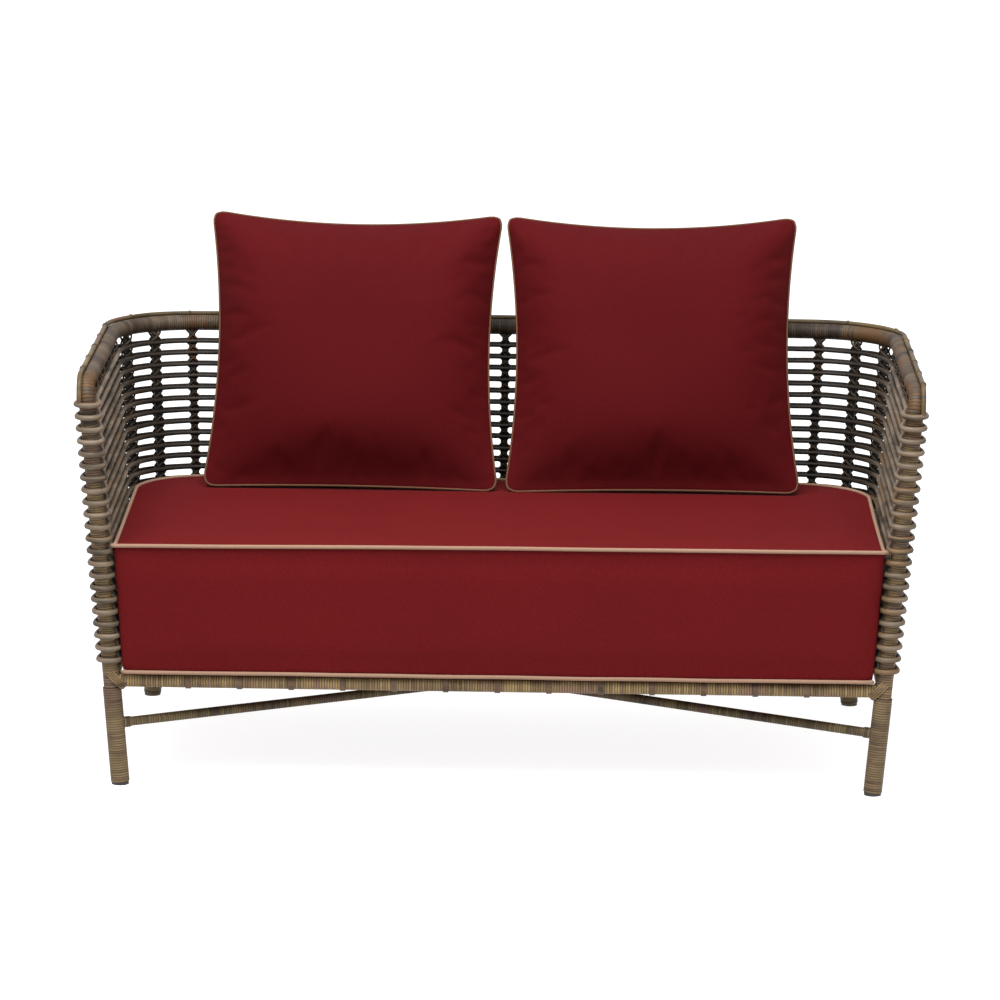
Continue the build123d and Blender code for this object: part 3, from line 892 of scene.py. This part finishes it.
def stakeEnds(number):
    total = sum(wallLengths(wall["railHeight"]))
    spaces = stakeLimit() + 1
    topDistance = total * number / spaces
    closing = 1 - sum(wallLengths(wall["seatHeight"])) / total
    lowDistance = topDistance * (1 - closing * abs(number) / spaces)
    low, lowOut = wallPoint(wall["seatHeight"], lowDistance)
    high, highOut = wallPoint(wall["railHeight"], topDistance)
    return low, high, (lowOut + highOut).normalized()


def stakeFrame(number):
    # the turn that lays X along the wall, Y outwards and Z up the stake
    low, high, out = stakeEnds(number)
    up = (high - low).normalized()
    along = out.cross(up).normalized()
    out = up.cross(along)
    return Matrix((along, out, up)).transposed()


def setStakes():
    bpy.ops.mesh.primitive_cylinder_add(vertices=12, radius=1, depth=1, location=(0, 0, 0.5))
    model = placed()
    editPiece(model, 'EDGE', lambda a, b: abs(a.z - b.z) > 0.5, bpy.ops.mesh.subdivide,
              number_cuts=weave["stakeCuts"])
    editPiece(model, 'VERT', lambda p: p.z < 0.001 or p.z > 0.999, bpy.ops.transform.resize,
              value=(weave["stakeEndShare"], weave["stakeEndShare"], 1))
    limit = stakeLimit()
    armFirst = limit // 2 + 1
    runs = {"left": range(-limit, -armFirst + 1), "back": range(-armFirst + 1, armFirst),
            "right": range(armFirst, limit + 1)}
    for name, numbers in runs.items():
        places = []
        for number in numbers:
            low, high, _ = stakeEnds(number)
            up = (high - low).normalized()
            start = low + up * (seatOuter / up.z)
            length = (high - up * (tubeRadius / up.z) - start).length
            wide = weave["stakeHalfWidth"] * random.uniform(*weave["stakeSpread"])
            size = Matrix.Diagonal((wide, weave["stakeHalfDepth"], length, 1))
            places.append(Matrix.Translation(start) @ stakeFrame(number).to_4x4() @ size)
        piece = copiesOf(f"stakes_{name}_run", model, places)
        shadeSmooth(piece, 50)
        dress(piece, "stakes", "frame", "stake_strand", f"stakes_{name}")
    removePiece(model)


def rodSide(z, sign):
    # from one post round the back to the other, outside the stakes for a sign of 1 and inside for -1
    wide = halfWidth(z) + sign * weave["loopOffset"]
    offset = sign * weave["rodOffset"]
    xFront = armFrontX(z, offset)
    x, y = wallCorner(z, offset)
    taperEnd = weave["loopStraight"] + weave["loopTaper"]
    right = [Vector((x, frontY + y, z)),
             Vector((xFront + math.tan(armAngle(z)) * taperEnd, frontY + taperEnd, z)),
             Vector((wide, frontY + weave["loopStraight"], z)), Vector((wide, frontY, z))]
    taper, corner = weave["taperRadius"], wall["cornerRadius"] + offset
    radii = [taper, taper, corner, corner, taper, taper]
    return roundedPath(mirrored(right) + right, radii, weave["rodStep"])


def postTurn(z, side):
    # half a circle round the front of a post, from outside to inside
    turns = [math.pi * k / weave["loopSteps"] for k in range(1, weave["loopSteps"])]
    return [postPoint(side, z) + Vector((side * math.cos(turn), -math.sin(turn), 0)) * weave["loopOffset"]
            for turn in turns]


def rodLoop(z):
    # out round the stakes, round a post, back inside the stakes and round the other post
    points = rodSide(z, 1) + postTurn(z, 1) + rodSide(z, -1)[::-1] + postTurn(z, -1)[::-1]
    for point in points:
        shift = Vector((z * weave["waverShift"], 0, 0))
        point.z += weave["rodWaver"] * noise.noise(point * weave["waverRate"] + shift)
    return points


def rodThickness(point):
    share = clamped((point.y - frontY - weave["thinFrom"]) / (weave["thinTo"] - weave["thinFrom"]))
    return 1 - (1 - weave["backShare"]) * share * share * (3 - 2 * share)


def weaveRods():
    heights = rowHeights()
    for first in range(0, len(heights), 2):
        rows = [roundStrand("row", rodLoop(z), weave["rodRadius"], True, thickness=rodThickness)
                for z in heights[first:first + 2]]
        number = f"{first // 2 + 1:02d}"
        dress(joinPieces(f"rod_rows_{number}", rows), "rods", "frame", "resin_rod", f"wall_rods_{number}")


def lashCrossings():
    # between two rows the strand crosses over each stake, on both faces, and ends beside the rods
    model = addRing(12, 4, 1, weave["lashRadius"] / weave["lashReach"])
    heights = rowHeights()
    halfPitch = (heights[1] - heights[0]) / 2
    runs = {"left": [], "right": []}
    for number in range(-stakeLimit(), stakeLimit() + 1):
        low, high, _ = stakeEnds(number)
        turn = stakeFrame(number).to_4x4()
        for z in heights:
            centre = Matrix.Translation(alongLine(low, high, z + halfPitch))
            for lean in (-1, 1):
                across = weave["lashReach"] * random.uniform(*weave["lashSpread"])
                if abs(number) > stakeLimit() // 2:
                    across *= weave["armLashShare"]
                tilt = Matrix.Rotation(lean * math.atan2(halfPitch, across), 4, 'Y')
                reach = math.hypot(halfPitch, across)
                size = Matrix.Diagonal((reach, weave["lashDepth"], reach, 1))
                runs["left" if number < 0 else "right"].append(centre @ turn @ tilt @ size)
    for name, places in runs.items():
        dress(copiesOf(f"lashings_{name}", model, places), "lashings", "frame", "stake_strand")
    removePiece(model)


setStakes()
weaveRods()
lashCrossings()
print("wall: stakes, rods and lashings")


# Slanting turns where the seat rail meets the posts

binding = {
    "reach": 20.5 * mm,
    "depth": 16.8 * mm,
    "inward": 8 * mm,
    "raise": 3 * mm,
    "radius": 1.7 * mm,
    "turns": 4,
    "spacing": 3.6 * mm,
    "slant": 45,
}


def bindJoints():
    model = addRing(32, 6, 1, binding["radius"] / binding["reach"])
    places = []
    for side in (-1, 1):
        slant = Matrix.Rotation(-side * math.radians(binding["slant"]), 4, 'Y')
        size = Matrix.Diagonal((binding["reach"], binding["depth"], binding["reach"], 1))
        for number in range(binding["turns"]):
            shift = slant @ Vector((0, 0, (number - 1) * binding["spacing"]))
            shift += Vector((-side * binding["inward"], 0, binding["raise"]))
            places.append(Matrix.Translation(postPoint(side, wall["seatHeight"]) + shift) @ slant @ size)
    dress(copiesOf("joint_bindings", model, places), "binding", "frame", "resin_strand")
    removePiece(model)


bindJoints()
print("bindings: seat rail joints")


# Seat cushion

seat = {
    "halfWidthLow": 0.620,
    "halfWidthHigh": 0.6345,
    "flare": 15 * mm,
    "frontOverhang": 15 * mm,
    "back": 0.628,
    "frontCorner": 10 * mm,
    "frontSegments": 5,
    "backCorner": 0.130,
    "backSegments": 14,
    "cornerFlareHigh": 9 * mm,     # the front corners stand wider, in front of the posts
    "cornerFlareLow": 7 * mm,
    "cornerFlareMiddle": 9 * mm,
    "cornerRise": 0.07,
    "cornerFlareStart": 2 * mm,
    "cornerFlareDepth": 17 * mm,
    "cornerFlareWidth": 50 * mm,
    "rodClearance": 0.6 * mm,
    "lift": 4.6 * mm,
    "liftRight": 3.2 * mm,
    "liftEnds": 1.5 * mm,
    "liftDepth": 0.36,
    "base": 0.1925,
    "lowSeam": 0.196,
    "highSeam": 0.410,
    "voxel": 10 * mm,
    "smoothing": 3,
    "crownDepth": 2 * mm,
    "crownTravel": 5.4 * mm,
    "sideTravel": 4.5 * mm,
    "unevenness": 0.12,
    "unevenRate": 5.0,
    "pressure": 4.0,
    "stiffness": 15.0,
    "slack": 0.0,
    "frames": 20,
    "heldReach": 8 * mm,
    "sharpReach": 20 * mm,
    "sharpStep": 4 * mm,
    "sharpness": 0.4,
    "zipMargin": 6 * mm,
    "pipingRadius": 3.2 * mm,
    "pipingOffset": 2.2 * mm,
    "pipingStep": 12 * mm,
    "pipingWaver": {"top": 0.8 * mm, "bottom": 1.2 * mm},
    "waverRate": 7,
    "waverShift": 50,
}


def seatShare(z):
    # 0 at the low seam and 1 at the high one
    return (z - seat["lowSeam"]) / (seat["highSeam"] - seat["lowSeam"])


def seatHalfWidth(z):
    return seat["halfWidthLow"] + seatShare(z) * (seat["halfWidthHigh"] - seat["halfWidthLow"])


def seatOutline(z, offset, step):
    half = seatHalfWidth(z) + offset
    front = frontY - seat["frontOverhang"] - offset
    back = frontY + seat["back"] + offset
    wide = half + seat["flare"]
    corners = [Vector((-half, front, z)), Vector((half, front, z)),
               Vector((wide, back, z)), Vector((-wide, back, z))]
    radii = [seat["frontCorner"]] * 2 + [seat["backCorner"]] * 2
    return roundedPath(corners, radii, step, True)


def flareCorner(point):
    # push a point near an upright front corner out sideways
    share = seatShare(point.z)
    most = seat["cornerFlareLow"] + share * (seat["cornerFlareHigh"] - seat["cornerFlareLow"])
    most += seat["cornerFlareMiddle"] * clamped(share / seat["cornerRise"]) * (1 - share * share)
    ahead = clamped((frontY + seat["cornerFlareStart"] - point.y) / seat["cornerFlareDepth"])
    aside = clamped((abs(point.x) - seat["halfWidthLow"]) / seat["cornerFlareWidth"] + 1)
    point.x += math.copysign(most * math.sqrt(ahead) * aside, point.x)


def liftFront(point):
    # the front is a little fuller than the back, and fuller on its right than on its left
    near = clamped(1 - (point.y - frontY) / seat["liftDepth"])
    across = point.x / seat["halfWidthHigh"]
    lift = seat["lift"] + seat["liftRight"] * across - seat["liftEnds"] * across * across
    point.z += lift * near * near * max(0, seatShare(point.z))


def keepOffRods(point, radius=0.0):
    # the rods that turn round a post press the cushion back out of their way
    post = postPoint(math.copysign(1, point.x), point.z)
    away = Vector((point.x - post.x, point.y - post.y, 0))
    least = weave["loopOffset"] + weave["rodRadius"] + seat["rodClearance"] + radius
    if away.length < least:
        point.x, point.y, _ = post + away * (least / away.length)


def simulatePad(piece, pins, sizes, travel=None):
    # inflate under pressure with the pinned points held; travel says how far a point may move, and
    # a slack below zero gives the cloth that much more length than the form it starts from
    group = piece.vertex_groups.new(name="held")
    group.add(pins, 1.0, 'REPLACE')
    before = [vert.co.copy() for vert in piece.data.vertices]
    cloth = piece.modifiers.new("cloth", 'CLOTH')
    cloth.settings.use_pressure = True
    cloth.settings.uniform_pressure_force = sizes["pressure"]
    cloth.settings.effector_weights.gravity = 0
    cloth.settings.tension_stiffness = sizes["stiffness"]
    cloth.settings.compression_stiffness = sizes["stiffness"]
    cloth.settings.shrink_min = sizes["slack"]
    cloth.settings.vertex_group_mass = "held"
    cloth.collision_settings.use_collision = False
    cloth.collision_settings.use_self_collision = False
    cloth.point_cache.frame_start = 1
    cloth.point_cache.frame_end = sizes["frames"]
    for number in range(1, sizes["frames"] + 1):
        bpy.context.scene.frame_set(number)
    makeActive(piece)
    bpy.ops.object.modifier_apply(modifier=cloth.name)
    if travel:
        for vert, old in zip(piece.data.vertices, before):
            move = vert.co - old
            most = travel(old)
            if move.length > most:
                vert.co = old + move * (most / move.length)
    piece.vertex_groups.clear()


def seatCover():
    # a box on the cushion's plan, from the deck to the top seam, with its upright corners rounded
    half = seat["halfWidthHigh"]
    depth = seat["back"] + seat["frontOverhang"]
    height = seat["highSeam"] - seat["base"]
    middle = frontY + (seat["back"] - seat["frontOverhang"]) / 2
    centreZ = seat["base"] + height / 2
    bpy.ops.mesh.primitive_cube_add(size=1, location=(0, middle, centreZ), scale=(2 * half, depth, height))
    cover = placed()
    editPiece(cover, 'VERT', lambda p: p.z < centreZ, bpy.ops.transform.resize,
              value=(seat["halfWidthLow"] / half, 1, 1))
    editPiece(cover, 'VERT', lambda p: p.y > middle, bpy.ops.transform.resize,
              value=(1 + seat["flare"] / half, 1, 1))
    for end in ("back", "front"):
        editPiece(cover, 'EDGE', lambda a, b: abs(a.z - b.z) > height / 2
                  and (a.y > middle) == (end == "back")
                  and abs(a.x) > half / 2 and abs(a.y - middle) > depth / 3,
                  bpy.ops.mesh.bevel, offset=seat[f"{end}Corner"], segments=seat[f"{end}Segments"],
                  affect='EDGES')
    return cover


def padTravel(point):
    # the crown rises freely and unevenly, the sides only a little
    unevenness = 1 + seat["unevenness"] * noise.noise(point * seat["unevenRate"])
    onCrown = point.z > seat["highSeam"] - seat["crownDepth"]
    return seat["crownTravel" if onCrown else "sideTravel"] * unevenness


def onSeam(point):
    # near a seam's height, and near the cushion's outline as seen from above
    if min(abs(point.z - seat["highSeam"]), abs(point.z - seat["lowSeam"])) >= seat["heldReach"]:
        return False
    half = seatHalfWidth(point.z)
    depth = point.y - frontY
    reach = 1.5 * seat["voxel"]
    nearFront = depth < -seat["frontOverhang"] + reach
    nearBack = depth > seat["back"] - reach
    nearSide = abs(point.x) > half - reach
    cornerX = abs(point.x) - (half + seat["flare"] - seat["backCorner"])
    cornerY = depth - (seat["back"] - seat["backCorner"])
    nearCorner = cornerX > 0 and cornerY > 0 and math.hypot(cornerX, cornerY) > seat["backCorner"] - reach
    return nearFront or nearBack or nearSide or nearCorner


def sharpenSeams(cover):
    # draw the cloth beside each seam towards the seam line
    line = [p for z in (seat["lowSeam"], seat["highSeam"]) for p in seatOutline(z, 0, seat["sharpStep"])]
    tree = kdtree.KDTree(len(line))
    for index, point in enumerate(line):
        tree.insert(point, index)
    tree.balance()
    reach = seat["sharpReach"]
    for vert in cover.data.vertices:
        near, _, gap = tree.find(vert.co)
        if gap < reach:
            vert.co = vert.co.lerp(near, (1 - gap / reach) ** seat["sharpness"])


def settleCover(cover):
    # flat on the deck, and pressed in behind the zip
    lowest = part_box("seat_cushion_cover")[0].z
    zipLow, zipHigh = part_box("seat_cushion_zip")
    margin = seat["zipMargin"]
    for vert in cover.data.vertices:
        point = vert.co
        point.z = max(point.z, lowest)
        behindZip = zipLow.x - margin < point.x < zipHigh.x + margin
        if behindZip and zipLow.z - margin < point.z < zipHigh.z + margin and point.y > zipLow.y - margin:
            point.y = min(point.y, zipLow.y)


def makeSeatCushion():
    cover = seatCover()
    remesh = cover.modifiers.new("remesh", 'REMESH')
    remesh.mode = 'VOXEL'
    remesh.voxel_size = seat["voxel"]
    remesh.use_smooth_shade = True
    applyAll(cover)
    held = [vert.index for vert in cover.data.vertices if onSeam(vert.co)]
    simulatePad(cover, held, seat, padTravel)
    smooth = cover.modifiers.new("smooth", 'SMOOTH')
    smooth.factor = 0.5
    smooth.iterations = seat["smoothing"]
    applyAll(cover)
    sharpenSeams(cover)
    refinePiece(cover)
    for vert in cover.data.vertices:
        flareCorner(vert.co)
        liftFront(vert.co)
        keepOffRods(vert.co)
    settleCover(cover)
    cover.name = "seat_cushion_canvas"
    shadeSmooth(cover)
    dress(cover, "cover", "seat_cushion", "cushion_fabric", "seat_cushion_cover", "seat_cushion_foam")


def layPiping(name, z):
    points = seatOutline(z, seat["pipingOffset"], seat["pipingStep"])
    for point in points:
        along = Vector((point.x * seat["waverRate"], point.y * seat["waverRate"], z * seat["waverShift"]))
        point.z += seat["pipingWaver"][name] * noise.noise(along)
        flareCorner(point)
        liftFront(point)
        keepOffRods(point, seat["pipingRadius"])
    cord = roundStrand(f"seat_cord_{name}", points, seat["pipingRadius"], True, 3)
    dress(cord, "piping", "seat_cushion", "piping_fabric", f"seat_piping_{name}")


makeSeatCushion()
layPiping("top", seat["highSeam"])
layPiping("bottom", seat["lowSeam"])
print("seat cushion: made")


# Zip at the back of the cushion

zipper = {
    "toothPitch": 2.6 * mm,
    "tooth": (1.3 * mm, 1.0 * mm, 4.2 * mm),
    "plainEnds": 4,              # teeth left out, two at each end
    "tapeDepth": 1.6 * mm,
    "slider": (24 * mm, 5.0 * mm, 11 * mm),
    "sliderLength": 22 * mm,
    "tab": (26 * mm, 1.6 * mm, 7 * mm),
    "sliderBevel": 1.0 * mm,
    "tabBevel": 0.7 * mm,
    "toothStagger": 1.0 * mm,
}


def zipBlock(size, place, bevel):
    bpy.ops.mesh.primitive_cube_add(size=1, location=place, scale=size)
    block = placed()
    edge = block.modifiers.new("edge", 'BEVEL')
    edge.width = bevel
    edge.segments = 2
    applyAll(block)
    return block


def fitZip():
    low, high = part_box("seat_cushion_zip")
    z = (low.z + high.z) / 2
    tapeFace = low.y + zipper["tapeDepth"]
    bpy.ops.mesh.primitive_cube_add(size=1, scale=zipper["tooth"])
    tooth = placed()
    pitch = zipper["toothPitch"]
    count = math.floor((high.x - low.x) / pitch) - zipper["plainEnds"]
    first = (low.x + high.x) / 2 - pitch * (count - 1) / 2
    places = [Matrix.Translation((first + k * pitch, tapeFace, z + (k % 2 - 0.5) * zipper["toothStagger"]))
              for k in range(count)]
    teeth = copiesOf("zip_teeth", tooth, places)
    removePiece(tooth)
    shadeSmooth(teeth, 30)
    dress(teeth, "zipTape", "seat_cushion", "zip_nylon")
    x = high.x - 1.5 * zipper["sliderLength"]
    length, thick, _ = zipper["slider"]
    slider = zipBlock(zipper["slider"], (x, tapeFace + thick / 4, z), zipper["sliderBevel"])
    tab = zipBlock(zipper["tab"], (x - length * 0.8, tapeFace + thick * 0.6, z), zipper["tabBevel"])
    body = joinPieces("zip_slider", [slider, tab])
    shadeSmooth(body, 40)
    dress(body, "zipMetal", "seat_cushion", "zip_nylon")


fitZip()
print("zip: fitted")


# Throw pillows

pillow = {
    "width": 0.522,
    "height": 0.510,
    "halfThickness": 80 * mm,
    "lean": 24.5,
    "centreDepth": 0.5908,
    "centreHeight": 0.6496,
    "divisions": 60,
    "startBulge": 64 * mm,
    "fullness": 0.46,
    "lowFullness": 0.10,
    "unevenness": 0.05,
    "unevenRate": 2,
    "sagTop": 23 * mm,
    "sagSide": 21 * mm,
    "sagBottom": 5 * mm,
    "cornerRound": 24 * mm,
    "pipingRadius": 1.9 * mm,
    "slack": -0.015,
    "pressure": 3.0,
    "stiffness": 15.0,
    "frames": 24,
    "lowStart": 0.2,
    "lowRate": 1.6,
    "lowSlope": 2.0,
    "left": {"place": -0.2685, "turn": 0.3, "seed": 3.0},
    "right": {"place": 0.2620, "turn": -0.5, "seed": 8.0},
}


def seamPlace(x, y):
    # from a square of -1 to 1 to the panel's own outline: drawn in between rounded corners
    halfWide, halfHigh = pillow["width"] / 2, pillow["height"] / 2
    rounding = pillow["cornerRound"]
    over = Vector((abs(x) * halfWide - halfWide + rounding, abs(y) * halfHigh - halfHigh + rounding))
    place = Vector((x * halfWide, y * halfHigh))
    if over.x > 0 and over.y > 0:
        over *= max(over) / over.length
        place.x = math.copysign(halfWide - rounding + over.x, x)
        place.y = math.copysign(halfHigh - rounding + over.y, y)
    sag = pillow["sagTop"] if y > 0 else pillow["sagBottom"]
    place.x -= x * pillow["sagSide"] * (1 - y * y)
    place.y -= y * sag * (1 - x * x)
    return place


def pillowSheets(seed):
    # two panels sewn at their edges, parted in the middle
    bpy.ops.mesh.primitive_cube_add(size=2, scale=(1, 1, mm))
    body = placed()
    editPiece(body, 'EDGE', lambda a, b: abs(a.z - b.z) < mm, bpy.ops.mesh.subdivide,
              number_cuts=pillow["divisions"])
    border = []
    rate = pillow["unevenRate"]
    for vert in body.data.vertices:
        x, y, z = vert.co
        if max(abs(x), abs(y)) > 1 - 1e-5:
            border.append(vert.index)
        bulge = pillow["startBulge"] * max(0, (1 - x * x) * (1 - y * y)) ** pillow["fullness"]
        uneven = pillow["unevenness"] * noise.noise(Vector((x * rate, y * rate, seed)))
        bulge *= 1 - pillow["lowFullness"] * y + uneven
        place = seamPlace(x, y)
        vert.co = (place.x, place.y, z + math.copysign(bulge, z))
    return body, border


def plumpFront(body):
    # the front is flat in the middle and round at its upper edges, and slopes in below
    thick = max(abs(vert.co.z) for vert in body.data.vertices)
    for vert in body.data.vertices:
        share = vert.co.z / thick
        if share > 0:
            plump = math.sqrt(1 - max(0, 1 - share * share) ** 2)
            low = clamped(pillow["lowStart"] - pillow["lowRate"] * vert.co.y / pillow["height"])
            share = plump + low * (share ** pillow["lowSlope"] - plump)
        vert.co.z = pillow["halfThickness"] * share


def makePillow(name):
    own = pillow[name]
    body, border = pillowSheets(own["seed"])
    simulatePad(body, border, pillow)
    plumpFront(body)
    seam = sorted((body.data.vertices[k].co.copy() for k in border), key=lambda p: math.atan2(p.y, p.x))
    seam = [(a + b) / 2 for a, b in zip(seam[0::2], seam[1::2])]
    refinePiece(body)
    turn = (Matrix.Rotation(math.radians(own["turn"]), 4, 'Y')
            @ Matrix.Rotation(math.radians(90 - pillow["lean"]), 4, 'X'))
    centre = Vector((own["place"], frontY + pillow["centreDepth"], pillow["centreHeight"]))
    place = Matrix.Translation(centre) @ turn
    body.data.transform(place)
    body.name = f"pillow_{name}_canvas"
    shadeSmooth(body)
    # the pillow takes the darkened pillow canvas, painted shade
    dress(body, "pillow", f"pillow_{name}", "cushion_fabric", f"pillow_cover_{name}", f"pillow_fill_{name}")
    cord = roundStrand(f"pillow_{name}_cord", [place @ p for p in seam], pillow["pipingRadius"], True, 2)
    dress(cord, "thinPiping", f"pillow_{name}", "piping_fabric", f"pillow_piping_{name}")


for name in ("left", "right"):
    makePillow(name)
print("pillows: made")


# Finishes of the nodes that stay

nodeFinishes = {"front_glide": "glide", "rear_glide": "glide", "deck_straps": "straps",
                "seat_cushion_zip": "zipTape"}


def finishNodes():
    for name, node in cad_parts.items():
        if not node.hide_render:
            giveFinish(node, next((nodeFinishes[k] for k in nodeFinishes if name.startswith(k)), "tube"))


finishNodes()
print("nodes: finished")


# Floor, light and camera

stageSizes = {
    "floor": 90.0,
    "floorGrey": 0.3,
    "floorGlow": 0.85,
    "floorRoughness": 0.8,
    "worldStrength": 1.02,
    "lightSize": 4.0,
    "lightAim": (0, 0, 0.4),
    "overhead": {"place": (-0.5, -1.7, 4.2), "power": 480},
    "fill": {"place": (3.5, -4.5, 2.2), "power": 40},
}
white = (1, 1, 1, 1)


def setStage():
    bpy.ops.mesh.primitive_plane_add(size=stageSizes["floor"], location=(0, 0, floorZ))
    floor = bpy.context.active_object
    floor.name = "floor"
    paint = bpy.data.materials.new("floor paint")
    paint.use_nodes = True
    shader = paint.node_tree.nodes['Principled BSDF'].inputs
    grey = stageSizes["floorGrey"]
    shader['Base Color'].default_value = (grey, grey, grey, 1)
    shader['Emission Color'].default_value = white
    shader['Emission Strength'].default_value = stageSizes["floorGlow"]
    shader['Roughness'].default_value = stageSizes["floorRoughness"]
    floor.data.materials.append(paint)
    world = bpy.data.worlds.new("studio")
    world.use_nodes = True
    background = world.node_tree.nodes['Background'].inputs
    background['Color'].default_value = white
    background['Strength'].default_value = stageSizes["worldStrength"]
    bpy.context.scene.world = world
    bpy.context.scene.view_settings.view_transform = 'Standard'


def addLight(name):
    place, aim = Vector(stageSizes[name]["place"]), Vector(stageSizes["lightAim"])
    light = bpy.data.lights.new(name, 'AREA')
    light.size = stageSizes["lightSize"]
    light.energy = stageSizes[name]["power"]
    lamp = addObject(name, light)
    lamp.location = place
    lamp.rotation_euler = (aim - place).to_track_quat('-Z', 'Y').to_euler()


cameraFit = {
    "place": (0.068, -7.154, 1.853),      # measured from the front posts' line
    "yaw": -0.541,
    "down": 10.763,
    "roll": 0.726,
    "lens": 158.4,
    "sensor": 36.0,
}


def setCamera():
    yaw, down, roll = (math.radians(cameraFit[k]) for k in ("yaw", "down", "roll"))
    ahead = Vector((math.sin(yaw) * math.cos(down), math.cos(yaw) * math.cos(down), -math.sin(down)))
    right = Vector((math.cos(yaw), -math.sin(yaw), 0))
    up = right.cross(ahead)
    across = right * math.cos(roll) + up * math.sin(roll)
    upward = up * math.cos(roll) - right * math.sin(roll)
    data = bpy.data.cameras.new("camera")
    data.lens = cameraFit["lens"]
    data.sensor_width = cameraFit["sensor"]
    data.clip_end = 100
    camera = addObject("camera", data)
    x, y, z = cameraFit["place"]
    camera.matrix_world = (Matrix.Translation((x, y + frontY, z))
                           @ Matrix((across, upward, -ahead)).transposed().to_4x4())
    bpy.context.scene.camera = camera


setStage()
addLight("overhead")
addLight("fill")
setCamera()
print("stage: floor, lights and camera")
